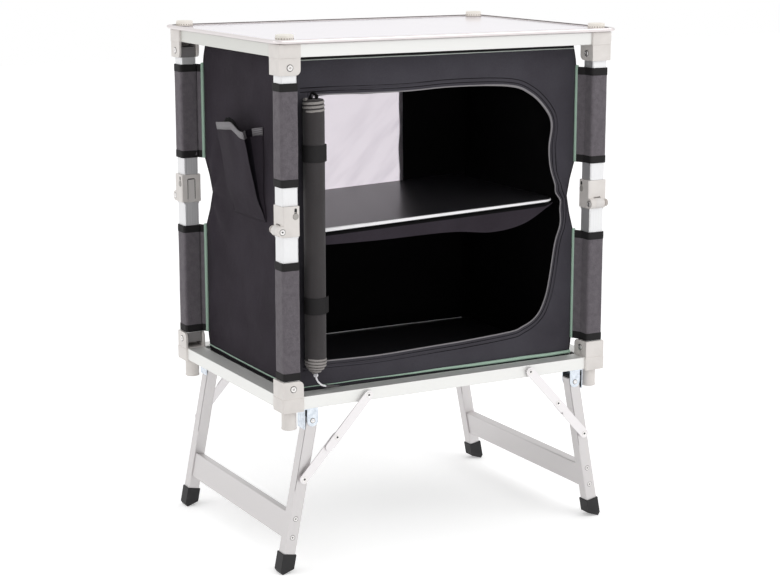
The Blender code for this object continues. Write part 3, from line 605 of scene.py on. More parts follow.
# The metal of the frame: satin on the rails, duller on the base and the posts, greyer on the legs.
ALUMINIUM = AnodisedAluminium("anodised_rail", "#e4e4e2", roughness=0.42)
# The side rails get a darker copy of the rail metal, which paints the shade on them.
SHADED_SIDE_ALUMINIUM = AnodisedAluminium("anodised_side_rail", "#d5d5d1", roughness=0.46)
BASE_ALUMINIUM = AnodisedAluminium("anodised_base_rail", "#e7e7e5", roughness=0.62)
RIM_ALUMINIUM = AnodisedAluminium("anodised_rim", "#ded8d8", roughness=0.36)
# The trim under the rim is darker than the rim: painted shade under the rim's edge.
SHADED_TRIM_ALUMINIUM = AnodisedAluminium("anodised_trim", "#c9c2c1", roughness=0.44)
LEG_ALUMINIUM = AnodisedAluminium("anodised_leg", "#cfcccc", roughness=0.42)
BRACE_ALUMINIUM = AnodisedAluminium("anodised_brace", "#e6e3e4", roughness=0.42)
POST_ALUMINIUM = AnodisedAluminium("anodised_post", "#e4e4e5", roughness=0.6, groove_mm=4.5)
LOWER_POST = TubeWithFittings("lower_post", POST_ALUMINIUM, Zone.LOWER_POST, "#8f8c8c", "#dbd7d4")
UPPER_POST = TubeWithFittings("upper_post", POST_ALUMINIUM, Zone.UPPER_POST, "#7f7c7d", "#7f7c7d")
LEG = TubeWithFittings("leg_with_cap", LEG_ALUMINIUM, Zone.LEG, "#1d1c1e", "#1d1c1e")

# The moulded parts: warm pale grey fittings, cream caps and black feet.
PALE_NYLON = MouldedNylon("pale_nylon", "#e3deda", "#dbd6d2")
CAP_NYLON = MouldedNylon("cream_nylon", "#f6f1e8", "#efe9df")
DOT_NYLON = MouldedNylon("dotted_relief", "#a9a196", "#9b9388")
BUTTON_NYLON = MouldedNylon("button_nylon", "#a8a4a0", "#96928e", roughness=0.35)
GRIP_NYLON = MouldedNylon("grey_grip_nylon", "#3f3c3e", "#353234", roughness=0.4)
BLACK_NYLON = MouldedNylon("black_nylon", "#1b1a1c", "#141315", roughness=0.6)
# A near black that paints the shade in hollows, round rivet heads and in the locks' openings.
RECESS_SHADE = MouldedNylon("dark_recess", "#161517", "#111012", roughness=0.7)
# A white for the shelf's edge band, also used to paint a line of light along the floor board's back.
EDGE_BAND_AND_LIGHT_LINE = MouldedNylon("white_edge_band", "#f7f6f8", "#f1f0f2", roughness=0.3)
# A grey that paints the shade on the rim's inner side.
INNER_RIM_SHADE = MouldedNylon("grey_edge_seal", "#4b4649", "#433e41", roughness=0.6)

# The boards.
WHITE_LAMINATE = Laminate("white_laminate", "#e6dfe8", "#e2dbe5")
BLACK_LAMINATE = Laminate("black_laminate", "#28272a", "#222124", roughness=0.34,
                          settings=(("IOR", 1.5), ("Coat Weight", 0.1), ("Coat Roughness", 0.06)))

# The cloth: dull charcoal outside, black coated inside, and a browner door.
CHARCOAL = WovenPolyester("charcoal_polyester", "#37343b", "#413f46")
# A darker copy of the charcoal for the side walls, their corner seams, the pocket and the sling: painted
# shade.
SHADED_CHARCOAL = WovenPolyester("side_polyester", "#2c272d", "#373239", crease=Mottle(38.0, 1.6, 4.0),
                               sheen=0.02, gleam=0.1)
# The pocket's black lining, which also paints the shade in its inward folds.
POCKET_LINING_AND_SHADE = WovenPolyester("pocket_lining", "#17151a", "#1f1c22", sheen=0.0, gleam=0.1)
DOOR_CLOTH = WovenPolyester("door_polyester", "#373435", "#403d3e")
LINING = WovenPolyester("black_coated_lining", "#070708", "#0c0b0d", sheen=0.0, gleam=0.1)
FLEECE = BrushedFleece()

# The tapes, pipings and the pull cord.
BLACK_TAPE = RibbedTape("black_tape", "#191819", "#222021", roughness=0.75, sheen=0.0)
GREY_TAPE = RibbedTape("grey_piping_tape", "#918e91", "#807d80")
LIP_TAPE = RibbedTape("grey_lip_tape", "#8a878a", "#5d5a5e", rib_mm=3.0)
ZIP_TAPE = RibbedTape("zip_coil_tape", "#a5a09e", "#898582")
GREEN_TAPE = RibbedTape("green_piping_tape", "#a8c2b1", "#97b3a2", roughness=0.45)
HEM_TAPE = RibbedTape("grey_green_hem_tape", "#c6cdc7", "#b0b8b1")
CORD_COVER = RibbedTape("silver_cord_cover", "#f8f7fa", "#dddce1", rib_mm=1.6)

# The plated steel, the window's film and the floor.
ZINC = ZincPlate("bright_zinc_plate", "#dfe5ec", "#bfc7d0")
TUMBLED = Mottle(3.0, 0.008, 3.0, (0.3, 0.7))
RIVET_ZINC = ZincPlate("tumbled_zinc_plate", "#efedec", "#dbd8d6", 0.36, TUMBLED, (TUMBLED,))
FILM = FrostedFilm()
PAPER = StudioPaper()


@lru_cache(maxsize=None)
def material_of(finish: Finish) -> bpy.types.Material:
    """Make a finish's material once and hand out the same one after that."""
    return finish.build()


# Shapes


class Shape:
    """Points and faces gathered for one piece, each face with the number of its finish."""

    def __init__(self) -> None:
        """Start with nothing."""
        self.points: list[Vector] = []
        self.faces: list[tuple[int, ...]] = []
        self.finish_of: list[int] = []

    def add(self, points: Iterable[Vector], faces: Iterable[Sequence[int]], finish: int = 0) -> None:
        """Add points and the faces between them.

        Args:
            points: The new points.
            faces: Faces that count from the first new point.
            finish: The number of the finish that the faces get.
        """
        start = len(self.points)
        self.points.extend(Vector(p) for p in points)
        for face in faces:
            self.faces.append(tuple(start + i for i in face))
            self.finish_of.append(finish)

    def cap(self, ring: Sequence[Vector], finish: int = 0, turned: bool = False) -> None:
        """Close a ring with one face, which looks the other way if it is turned."""
        order = range(len(ring))
        self.add(ring, [tuple(reversed(order)) if turned else tuple(order)], finish)

    def grid(self, rows: Sequence[Sequence[Vector]], finish: int = 0, round_rows: bool = False,
             round_columns: bool = False) -> None:
        """Add a net of four-sided faces.

        Args:
            rows: Rows of equally many points.
            finish: The number of its finish.
            round_rows: True joins each row's end to its start.
            round_columns: True joins the last row to the first.
        """
        width, height = len(rows[0]), len(rows)
        faces = []
        for r in range(height if round_columns else height - 1):
            for c in range(width if round_rows else width - 1):
                a, b = r * width + c, r * width + (c + 1) % width
                below = ((r + 1) % height) * width
                faces.append((a, b, below + (c + 1) % width, below + c))
        self.add([p for row in rows for p in row], faces, finish)

    def tube(self, path: Sequence[Vector], radius: Union[float, Callable[[float], float]], sides: int = 10,
             closed: bool = False, flat: float = 1.0) -> None:
        """Add a tube along a line.

        Args:
            path: The points of its middle line.
            radius: Its radius, or the radius at a share of its length from 0 to 1.
            sides: How many sides it has.
            closed: True for a ring, which has no ends.
            flat: Its height across the line's own plane as a share of its width.
        """
        rows, count = [], len(path)
        side = None
        for i, point in enumerate(path):
            after = path[(i + 1) % count] if closed or i + 1 < count else point
            before = path[i - 1] if closed or i else point
            along = (after - before).normalized()
            if side is None:
                side = along.orthogonal().normalized()
            side = (side - along * side.dot(along)).normalized()
            other = along.cross(side)
            size = radius(i / max(1, count - 1)) if callable(radius) else radius
            rows.append([
                point + (side * math.cos(t) * flat + other * math.sin(t)) * size for t in turns_of(sides)])
        self.grid(rows, round_rows=True, round_columns=closed)
        if not closed:
            self.cap(rows[0])
            self.cap(rows[-1], turned=True)

    def lathe(self, profile: Sequence[tuple[float, float]], place: Matrix, sides: int = 24,
              finishes: Sequence[int] = ()) -> None:
        """Add a turned form.

        Args:
            profile: Radius and height of each ring, from one end to the other.
            place: Where it goes; its axis is the place's Z.
            sides: How many sides it has.
            finishes: The number of the finish of each band between rings, or nothing for all 0.
        """
        finishes = finishes or (0,) * (len(profile) - 1)
        rings = [[place @ Vector((r * math.cos(t), r * math.sin(t), h)) for t in turns_of(sides)]
                 for r, h in profile]
        for pair, finish in zip(zip(rings, rings[1:]), finishes):
            self.grid(pair, finish, round_rows=True)
        self.cap(rings[0], finishes[0], turned=True)
        self.cap(rings[-1], finishes[-1])

    def piece(self, name: str, finishes: Sequence[Finish], sharp_angle: float = 40.0) -> bpy.types.Object:
        """Make the object.

        Args:
            name: The piece's name.
            finishes: Its finishes, by number.
            sharp_angle: Edges bent more than this many degrees stay crisp.

        Returns:
            The object, linked to the scene.
        """
        mesh = bpy.data.meshes.new(name)
        mesh.from_pydata([tuple(p) for p in self.points], [], self.faces)
        mesh.polygons.foreach_set("material_index", self.finish_of)
        merge_doubles(mesh)
        mesh.shade_smooth()
        mesh.set_sharp_from_angle(angle=math.radians(sharp_angle))
        made = bpy.data.objects.new(name, mesh)
        bpy.context.scene.collection.objects.link(made)
        for finish in finishes:
            mesh.materials.append(material_of(finish))
        LOG.info("%s: %d points", name, len(mesh.vertices))
        return made


def merge_doubles(mesh: bpy.types.Mesh) -> None:
    """Join points of a mesh that lie within a micrometre of each other.

    Args:
        mesh: The mesh.
    """
    work = bmesh.new()
    work.from_mesh(mesh)
    bmesh.ops.remove_doubles(work, verts=work.verts, dist=1e-6)
    work.to_mesh(mesh)
    work.free()


def turns_of(count: int) -> list[float]:
    """The angles of that many points spread round a circle."""
    return [math.tau * k / count for k in range(count)]


def up(height: float) -> Vector:
    """A step straight up."""
    return Vector((0.0, 0.0, height))


def smooth_line(points: Sequence[Vector], steps: int) -> list[Vector]:
    """Draw a smooth line through points.

    Args:
        points: The points that it goes through.
        steps: How many pieces each stretch is cut into.

    Returns:
        The line's points.
    """
    last = len(points) - 1
    line = []
    for i in range(last):
        a, b, c, d = (points[min(max(k, 0), last)] for k in range(i - 1, i + 3))
        for k in range(steps):
            t = k / steps
            line.append(0.5 * (2 * b + (c - a) * t + (2 * a - 5 * b + 4 * c - d) * t * t
                               + (3 * b - a - 3 * c + d) * t ** 3))
    return line + [Vector(points[-1])]


def rounded_rectangle(half_x: float, half_y: float, radius: float, steps: int = 8,
                      sides: int = 1) -> list[Vector]:
    """Draw a rectangle with round corners round the origin.

    Args:
        half_x: Half its length in X.
        half_y: Half its length in Y.
        radius: The radius of its corners.
        steps: How many pieces each corner is cut into.
        sides: How many pieces each side is cut into.

    Returns:
        Its points, anticlockwise from above.
    """
    arcs = []
    for start, (sx, sy) in enumerate(QUARTERS):
        turns = (math.radians(90.0 * (start + k / steps)) for k in range(steps + 1))
        arcs.append([Vector((sx * (half_x - radius) + radius * math.cos(t), sy * (half_y - radius)
                             + radius * math.sin(t), 0.0)) for t in turns])
    line = []
    for arc, after in zip(arcs, arcs[1:] + arcs[:1]):
        line += arc + [arc[-1].lerp(after[0], k / sides) for k in range(1, sides)]
    return line


def ramp(value: float, start: float, end: float) -> float:
    """Go smoothly from 0 at start to 1 at end."""
    t = min(1.0, max(0.0, (value - start) / (end - start)))
    return t * t * (3 - 2 * t)


def ripple(x: float, y: float, z: float, size: float, layer: float = 0.0) -> float:
    """Smooth noise from -1 to 1 whose waves are about size across."""
    return noise.noise(Vector((x / size + layer, y / size + 7.1 * layer, z / size)))


def facing(place: Vector, direction: Vector) -> Matrix:
    """A place whose Z looks along a direction."""
    return Matrix.Translation(place) @ direction.to_track_quat("Z", "Y").to_matrix().to_4x4()


def thicken(piece: bpy.types.Object, thickness: float, inner_finish: int = 0) -> None:
    """Give a sheet its thickness, inward.

    Args:
        piece: The sheet.
        thickness: Its thickness.
        inner_finish: How many finishes further on its inside has.
    """
    solid = piece.modifiers.new("thickness", "SOLIDIFY")
    solid.thickness = thickness
    solid.offset = -1.0
    solid.material_offset = inner_finish
    solid.use_even_offset = False


def hang(piece: bpy.types.Object) -> None:
    """Let a cloth piece stand on the base frame, with a mesh of its own."""
    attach(piece, "bottom_frame")
    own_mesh(piece)


# Carried-over parts


@dataclass
class FrameParts:
    """The rigid parts of the frame, which keep their shape and get rounded edges and finishes."""

    edge_round: float = 0.0005
    thin_edge_round: float = 0.0003

    def finish_for(self, node: str) -> tuple[Finish, float]:
        """Choose a part's finish and the rounding of its edges.

        Args:
            node: The part's name.

        Returns:
            The finish and the rounding in metres.
        """
        edge, thin = self.edge_round, self.thin_edge_round
        choices: tuple[tuple[str, Finish, float], ...] = (
            ("worktop_board", WHITE_LAMINATE, 0.0),
            # The trim is darkened as painted shade under the rim.
            ("worktop_trim", SHADED_TRIM_ALUMINIUM, 0.0012),
            # The side rails take the darker copy of the rail metal: painted shade.
            ("top_rail_left", SHADED_SIDE_ALUMINIUM, edge),
            ("top_rail_right", SHADED_SIDE_ALUMINIUM, edge),
            ("bottom_rail", BASE_ALUMINIUM, edge),
            ("post_lower", LOWER_POST, edge),
            ("post_upper", UPPER_POST, edge),
            ("lock_button", BUTTON_NYLON, thin),
            ("lock_housing", PALE_NYLON, edge),
            ("top_corner", PALE_NYLON, 0.0007),
            ("bottom_corner", PALE_NYLON, 0.0007),
            ("floor_board", BLACK_LAMINATE, 0.0),
            ("shelf_board", BLACK_LAMINATE, 0.001),
            ("foot", BLACK_NYLON, edge),
            ("leg_bracket", ZINC, 0.0),
            ("brace", BRACE_ALUMINIUM, thin),
            ("leg_crossbar", LEG_ALUMINIUM, edge),
            ("leg", LEG, edge),
        )
        for start, finish, rounding in choices:
            if node.startswith(start):
                return finish, rounding
        return ALUMINIUM, edge

    def build(self) -> None:
        """Give every part its finish, smooth its round faces and round its edges."""
        shading = smooth_by_angle()
        for name, part in NODES.items():
            finish, rounding = self.finish_for(name)
            for slot in part.material_slots:
                slot.material = material_of(finish)
            smoother = part.modifiers.new("round_faces", "NODES")
            smoother.node_group = shading
            if rounding > 0.0:
                edge = part.modifiers.new("round_edges", "BEVEL")
                edge.width = rounding
                edge.segments = 2
                edge.limit_method = "ANGLE"
                edge.angle_limit = math.radians(40.0)
            LOG.info("%s: %s", name, finish.name)


def smooth_by_angle() -> bpy.types.NodeTree:
    """Make the geometry nodes that smooth faces across gentle edges, bent less than 34 degrees.

    Returns:
        The node group.
    """
    tree = bpy.data.node_groups.new("smooth_by_angle", "GeometryNodeTree")
    for in_out in ("INPUT", "OUTPUT"):
        tree.interface.new_socket("Geometry", in_out=in_out, socket_type="NodeSocketGeometry")
    start = add_node(tree, "NodeGroupInput").outputs[0]
    joined = add_node(tree, "GeometryNodeMergeByDistance", {"Geometry": start, "Distance": 1e-5})
    plain = add_node(tree, "GeometryNodeRemoveAttribute", {"Geometry": joined, "Name": "custom_normal"})
    smooth = add_node(tree, "GeometryNodeSetShadeSmooth", {"Geometry": plain, "Shade Smooth": True})
    bend = add_node(tree, "GeometryNodeInputMeshEdgeAngle").outputs["Unsigned Angle"]
    sharp = add_node(tree, "FunctionNodeCompare", {0: bend, 1: math.radians(34.0)}, operation="GREATER_THAN")
    crisp = add_node(tree, "GeometryNodeSetShadeSmooth", {
        "Geometry": smooth, "Selection": sharp, "Shade Smooth": False}, domain="EDGE")
    add_node(tree, "NodeGroupOutput", {0: crisp})
    return tree


# Cabinet


@dataclass
class CabinetForm:
    """The form that the cabinet's cloth takes between its posts."""

    waist_z: float = 0.5525
    waist_bow: float = 0.014
    hem_bow: float = 0.0055
    foot_bow: float = 0.0020
    bow_reach: float = 0.058
    bow_y_share: float = 0.9
    slack: float = 0.7
    right_slack: float = 0.6
    rear_slack: float = 0.66
    held_near_edge: float = 0.03
    fold_depth: float = 0.0023

    def bow(self, corner: Corner, z: float) -> float:
        """Work out how far a corner of the cabinet is drawn in, where no sleeve holds it.

        Args:
            corner: The corner.
            z: The height.

        Returns:
            The distance.
        """
        low, high = SLEEVE_SPANS["lower"], SLEEVE_SPANS["upper"]
        if low[1] < z < high[0]:
            half = (high[0] - low[1]) / 2
            share = 1 - abs(z - self.waist_z) / half
            slacks = {Corner.FRONT_RIGHT: self.right_slack, Corner.REAR_LEFT: self.rear_slack}
            bent = 1.2 * share if share < 0.5 else 0.6 + 0.8 * (share - 0.5)
            return self.waist_bow * slacks.get(corner, self.slack) * bent
        if z < low[0]:
            return self.foot_bow * ramp(z, low[0], WALL_LOW)
        if z > high[1]:
            return self.hem_bow * ramp(z, high[1], WALL_HIGH)
        return 0.0

    def edge(self, corner: Corner, z: float) -> Vector:
        """The corner of the cabinet at a height."""
        bow = self.bow(corner, z)
        return Vector((corner.side_x * (WALL_X - bow), corner.side_y * (WALL_Y - self.bow_y_share * bow), z))

    def ends(self, side: Side, z: float) -> tuple[float, float]:
        """Where a wall starts and ends at a height, along its own axis."""
        first, last = side.corners
        return self.edge(first, z)[side.axis], self.edge(last, z)[side.axis]

    def fade(self, distance: float) -> float:
        """How much of a corner's bow a wall still has at a distance from that corner."""
        return math.exp(-max(0.0, distance) / self.bow_reach)

    def surface(self, side: Side, along: float, z: float) -> Vector:
        """Find a point on the outside of a wall.

        Args:
            side: The wall.
            along: Its coordinate on that wall: x for front and rear, y for left and right.
            z: Its height.

        Returns:
            The point.
        """
        away = [abs(along - end) for end in self.ends(side, z)]
        bow = sum(self.bow(corner, z) * self.fade(far) for corner, far in zip(side.corners, away))
        held = (ramp(min(away), 0.0, self.held_near_edge) * ramp(z, WALL_LOW, WALL_LOW + self.held_near_edge)
                * ramp(WALL_HIGH - z, 0.0, 0.04))
        if side.axis == 0:
            fold = self.folds(along, side.out.y * WALL_Y, z) * held
            return Vector((along, side.out.y * (WALL_Y - self.bow_y_share * bow + fold), z))
        fold = self.folds(side.out.x * WALL_X, along, z) * held
        return Vector((side.out.x * (WALL_X - bow + fold), along, z))

    def folds(self, x: float, y: float, z: float) -> float:
        """How far the cloth stands out at a place, in soft folds that run down and slantwise."""
        slant, wide = ripple(x + 0.6 * z, y - 0.5 * z, 0.35 * z, 0.045, 1.3), ripple(x, y, 0.6 * z, 0.11, 4.2)
        return self.fold_depth * (0.5 * slant + 0.9 * wide + self.pulls(x, y, z) - 0.4)

    def pulls(self, x: float, y: float, z: float) -> float:
        """Work out the creases that fan out from each waist, where the cloth is drawn in, and each foot.

        Args:
            x: The place's x.
            y: Its y.
            z: Its height.

        Returns:
            Their height, as a share of the folds' depth.
        """
        height = 0.0
        sources = ((self.waist_z, (0.075, 9.0)), (WALL_LOW + 0.03, (0.06, 7.0)))
        for corner in Corner:
            for source, (reach, fan) in sources:
                away = math.hypot(x - corner.side_x * WALL_X, y - corner.side_y * WALL_Y)
                distance = math.hypot(away, z - source)
                turn = math.atan2(z - source, away + 0.01)
                height += (math.cos(fan * turn + 2.0 * corner.side_x) * ramp(distance, 0.0, 0.03)
                           * math.exp(-distance / reach))
        return 2.3 * height


FORM = CabinetForm()


@dataclass
class Walls:
    """The cabinet's four cloth walls, with the door opening, the window opening, their seams and hems."""

    cloth: float = 0.0012
    door_width: float = 0.4535
    door_height: float = 0.4190
    door_side_steps: int = 22
    window_half: float = 0.114
    window_low: float = 0.537
    window_high: float = 0.7026
    window_wave: float = 0.0016
    window_side_steps: int = 30
    edge_rings: tuple[float, ...] = (0.0, 0.0015, 0.0045, 0.0054, 0.0063, 0.0106, 0.0115, 0.0124)
    seam_depth: float = 0.0008
    seam_rings: tuple[int, ...] = (3, 6)
    piping_radius: float = 0.0011
    piping_swell: float = 0.0008
    stitch_radius: float = 0.0005

    def door_outline(self) -> list[Vector]:
        """Draw the edge of the door opening, anticlockwise seen from the front.

        Returns:
            Its points: x and height.
        """
        right = (
            (-0.2215, 0.3268), (-0.1164, 0.3238), (-0.0248, 0.3261), (0.1282, 0.3325), (0.1630, 0.3394),
            (0.1874, 0.3533), (0.2063, 0.3831), (0.2145, 0.4190), (0.2224, 0.4767), (0.2326, 0.5094),
            (0.2354, 0.5427), (0.2243, 0.5662), (0.2142, 0.6000), (0.2094, 0.6382), (0.2129, 0.6757),
            (0.1997, 0.7009), (0.1701, 0.7264), (0.1288, 0.7404), (0.0235, 0.7441), (-0.0724, 0.7408),
            (-0.2215, 0.7428),
        )
        line = smooth_line([Vector((x, z, 0.0)) for x, z in right], 7)
        steps = self.door_side_steps
        return line + [line[-1].lerp(line[0], k / steps) for k in range(1, steps)]

    def window_outline(self) -> list[Vector]:
        """Draw the edge of the window opening, a rectangle whose sides wave a little.

        Returns:
            Its points: x and height.
        """
        line = []
        low, high, half = self.window_low, self.window_high, self.window_half
        corners = ((-half, low), (half, low), (half, high), (-half, high))
        for i, ((x, z), (next_x, next_z)) in enumerate(zip(corners, corners[1:] + corners[:1])):
            for k in range(self.window_side_steps):
                t = k / self.window_side_steps
                wave = self.window_wave * math.sin(math.tau * 1.7 * t + i) * math.sin(math.pi * t)
                wave_x, wave_z = (wave, 0.0) if i % 2 else (0.0, wave)
                line.append(Vector((x + (next_x - x) * t + wave_x, z + (next_z - z) * t + wave_z, 0.0)))
        return line

    def spokes(self, side: Side, outline: Sequence[Vector]) -> list[Vector]:
        """Find where the wall ends straight outward from each point of an opening's edge.

        Args:
            side: The wall, front or rear.
            outline: The opening's edge: x and height.

        Returns:
            The wall's edge for each point: x and height.
        """
        middle = sum(outline, Vector()) / len(outline)
        shares = []
        for p in outline:
            reach_x = WALL_X - math.copysign(1, p.x - middle.x) * middle.x
            reach_z = WALL_HIGH - middle.y if p.y > middle.y else middle.y - WALL_LOW
            u, v = (p.x - middle.x) / reach_x, (p.y - middle.y) / reach_z
            scale = 1 / max(abs(u), abs(v))
            shares.append([u * scale, v * scale, reach_x, reach_z])
        for u, v in QUARTERS:
            nearest = min(shares, key=lambda t: (t[0] - u) ** 2 + (t[1] - v) ** 2)
            nearest[0], nearest[1] = u, v
        ends = []
        for u, v, reach_x, reach_z in shares:
            x, z = middle.x + u * reach_x, middle.y + v * reach_z
            if math.isclose(abs(u), 1.0):
                x = FORM.edge(next(c for c in side.corners if c.side_x * u > 0), z).x
            ends.append(Vector((x, z, 0.0)))
        return ends

    def panel_round(self, shape: Shape, side: Side, outline: Sequence[Vector]) -> None:
        """Add the wall round an opening, as rings from its edge outward, with pressed-in seams in front.

        Args:
            shape: What the wall is added to.
            side: The wall, front or rear.
            outline: The opening's edge: x and height.
        """
        seams = self.seam_rings if side is Side.FRONT else ()
        rings = self.edge_rings if seams else self.edge_rings[:2]
        spokes = list(zip(outline, self.spokes(side, outline)))
        rows: list[list[Vector]] = []
        for ring in range(len(rings) + 9):
            row = []
            for p, end in spokes:
                share = rings[min(ring, len(rings) - 1)] / (end - p).length
                if ring >= len(rings):
                    share = share + (1 - share) * (ring - len(rings) + 1) / 9
                q = p + (end - p) * min(1.0, share)
                point = FORM.surface(side, q.x, q.y)
                if ring in seams:
                    point.y += self.seam_depth
                row.append(point)
            rows.append(row)
        if side is Side.FRONT:
            rows = [list(reversed(row)) for row in rows]
        shape.grid(rows, round_rows=True)

    def plain_panel(self, shape: Shape, side: Side) -> None:
        """Add a wall without an opening.

        Args:
            shape: What the wall is added to.
            side: The wall, left or right.
        """
        net = []
        for r in range(85):
            z = WALL_LOW + WALL_TALL * r / 84
            a, b = FORM.ends(side, z)
            net.append([FORM.surface(side, a + (b - a) * c / 48, z) for c in range(49)])
        shape.grid(net, 1)

    def build(self) -> None:
        """Make the walls, thicken them inward with a black lining, and hang them on the base frame."""
        shape = Shape()
        self.panel_round(shape, Side.FRONT, self.door_outline())
        self.panel_round(shape, Side.REAR, self.window_outline())
        self.plain_panel(shape, Side.LEFT)
        self.plain_panel(shape, Side.RIGHT)
        # The side walls take the darker charcoal, which paints their shade.
        walls = shape.piece("cabinet_walls", (CHARCOAL, SHADED_CHARCOAL, LINING, LINING), 60.0)
        thicken(walls, self.cloth, 2)
        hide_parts("cabinet_cover")
        hang(walls)
        self.edge_piping()

    def edge_piping(self) -> None:
        """Bind the door opening's edge with grey tape, fuller at the top right corner than down the side."""
        outline = self.door_outline()
        inset = Vector((0.0, 0.0004, 0.0))
        path = [FORM.surface(Side.FRONT, p.x, p.y) + inset for p in outline]
        sizes = [self.piping_radius + self.piping_swell * ramp(p.y, 0.60, 0.70) * ramp(p.x, 0.05, 0.15)
                 for p in outline]
        shape = Shape()
        shape.tube(path, lambda share: sizes[round(share * (len(sizes) - 1))], sides=8, closed=True)
        hang(shape.piece("door_edge_piping", (GREY_TAPE,)))
        self.stitching()

    def stitching(self) -> None:
        """Sew the two lines beside the opening's edge, where the binding's turned-in cloth is held."""
        run = self.door_outline()[:1 - self.door_side_steps]
        for row in self.seam_rings:
            line = []
            for before, p, after in zip(run, run[2:], run[4:]):
                along = (after - before).normalized()
                line.append(p + Vector((along.y, -along.x, 0.0)) * self.edge_rings[row])
            ends = [Vector((-0.244, q.y, 0.0)) for q in (line[0], line[-1])]
            inset = Vector((0.0, 0.0003, 0.0))
            path = [FORM.surface(Side.FRONT, q.x, q.y) + inset for q in ends[:1] + line + ends[1:]]
            shape = Shape()
            shape.tube(path, self.stitch_radius, sides=6)
            hang(shape.piece(f"door_stitching_{row}", (LINING,)))


@dataclass
class CornerTrims:
    """The bound seams at the cabinet's corners and the green piping that joins it to the sleeves."""

    seam_radius: float = 0.0009
    seam_steps: int = 96
    rod_radius: float = 0.0030
    rod_offset: float = 0.0022
    gap: float = 0.0004
    sleeve_inner: float = 0.0144
    web_reach: float = 0.0105
    band: float = 0.0125
    folded: float = 0.012
    fork_top: float = 0.3111

    def build(self) -> None:
        """Make a seam for each corner, and a rod with its web of felt for each sleeve."""
        for corner in Corner:
            seam = Shape()
            heights = [WALL_LOW + WALL_TALL * i / self.seam_steps for i in range(self.seam_steps + 1)]
            seam.tube([FORM.edge(corner, z) for z in heights], self.seam_radius, sides=8)
            hang(seam.piece(f"corner_seam_{corner.code}", (SHADED_CHARCOAL,)))
            out = Vector((corner.side_x, corner.side_y, 0.0)).normalized()
            centre = Vector((corner.side_x * WALL_X, corner.side_y * WALL_Y, 0.0)) + out * self.rod_offset
            rods, webs = Shape(), Shape()
            for low, high in SLEEVE_SPANS.values():
                heights = (low, low + 0.001, high + 0.0015, high + 0.0025)
                rods.tube([centre + up(z) for z in heights], self.rod_width, sides=12)
                rows = [[q + up(z) for q in self.web(corner, centre)] for z in (
                    low, low + self.band, high - self.band, high)]
                for k, finish in enumerate((1, 0, 1)):
                    webs.grid(rows[k:k + 2], finish, round_rows=True)
                webs.cap(rows[0], 1, turned=True)
                webs.cap(rows[-1], 1)
            hang(rods.piece(f"green_piping_{corner.code}", (GREEN_TAPE,)))
            hang(webs.piece(f"sleeve_web_{corner.code}", (FLEECE, BLACK_TAPE)))

    def rod_width(self, share: float) -> float:
        """The green rod's radius, which is a little less at its ends."""
        return self.rod_radius * (1.0 if 0.2 < share < 0.8 else 0.8)

    def web(self, corner: Corner, rod: Vector) -> list[Vector]:
        """Draw the web in plan, from the rod to the sleeve's side that the post doesn't fold towards.

        Args:
            corner: Its corner.
            rod: The rod's middle.

        Returns:
            Its four corners, anticlockwise.
        """
        fold = corner.fold
        flank = Vector((-corner.side_x, -corner.side_y, 0.0)) - fold
        reach = self.sleeve_inner + self.gap
        near = corner.centre + fold * reach + flank * reach
        far = corner.centre + fold * (reach - self.web_reach) + flank * reach
        line = [rod + fold * self.rod_radius * 0.5, near, far, rod + (flank - fold) * self.rod_radius * 0.4]
        middle = sum(line, Vector()) / len(line)
        return sorted(line, key=lambda q: math.atan2(q.y - middle.y, q.x - middle.x))


@dataclass
class Hems:
    """The green piping along the cabinet's base, and the tape along its top with a black band that paints the
    rail's shadow.
    """

    base_z: float = 0.2878
    base_radius: float = 0.0029
    base_steps: int = 60
    base_wave: float = 0.0009
    thin_share: float = 0.4
    front_start_share: float = 0.28
    top_z: float = 0.7957
    top_radius: float = 0.0008
    top_steps: int = 80
    top_wave: float = 0.0007
    top_lift: float = 0.0009
    band_lift: float = 0.0004

    def build(self) -> None:
        """Make the base piping round all four walls, the top piping in front and the black band of painted
        shadow above it.
        """
        for side in Side:
            self.base(side)
        self.top_front()

    def base(self, side: Side) -> None:
        """Make the base piping of one wall, which swells to the right in front.

        Args:
            side: The wall.
        """
        in_front = side is Side.FRONT
        start, end = FORM.ends(side, self.base_z)
        path = []
        for i in range(self.base_steps + 1):
            along = start + (end - start) * i / self.base_steps
            z = self.base_z + self.base_wave * ripple(along, 0.0, 0.0, 0.06, 2.0 + len(side.name))
            full = ramp(i, 12, 54) if in_front else 0.0
            distance = self.base_radius * (self.thin_share + 0.7 * full)
            path.append(self.proud(side, along, z - 0.0006 * full, distance))
        swell = 1.0 - self.front_start_share
        piping = Shape()
        piping.tube(path, lambda share: self.base_radius * (
            self.front_start_share + swell * ramp(share, 0.15, 0.75) if in_front else self.thin_share))
        hang(piping.piece(f"base_piping_{side.name.lower()}", (GREEN_TAPE,)))

    def proud(self, side: Side, along: float, z: float, distance: float) -> Vector:
        """The point that far outside a wall's surface."""
        return FORM.surface(side, along, z) + side.out * distance

    def top_front(self) -> None:
        """Make the thin piping under the front rail, and above it a band of black tape that paints the rail's
        shadow.
        """
        start, end = FORM.ends(Side.FRONT, self.top_z)
        line, low, high = [], [], []
        for i in range(self.top_steps + 1):
            x = start + (end - start) * i / self.top_steps
            z = self.top_z + self.top_wave * ripple(x, 0.0, 0.0, 0.07, 9.0)
            line.append(self.proud(Side.FRONT, x, z, self.top_lift))
            low.append(self.proud(Side.FRONT, x, z + 0.0003, self.band_lift))
            high.append(self.proud(Side.FRONT, x, WALL_HIGH - 0.002, self.band_lift))
        piping = Shape()
        piping.tube(line, self.top_radius, sides=8)
        hang(piping.piece("top_piping_front", (HEM_TAPE,)))
        band = Shape()
        band.grid([low, high])
        strip = band.piece("top_band_front", (BLACK_TAPE,))
        thicken(strip, 0.0003)
        hang(strip)


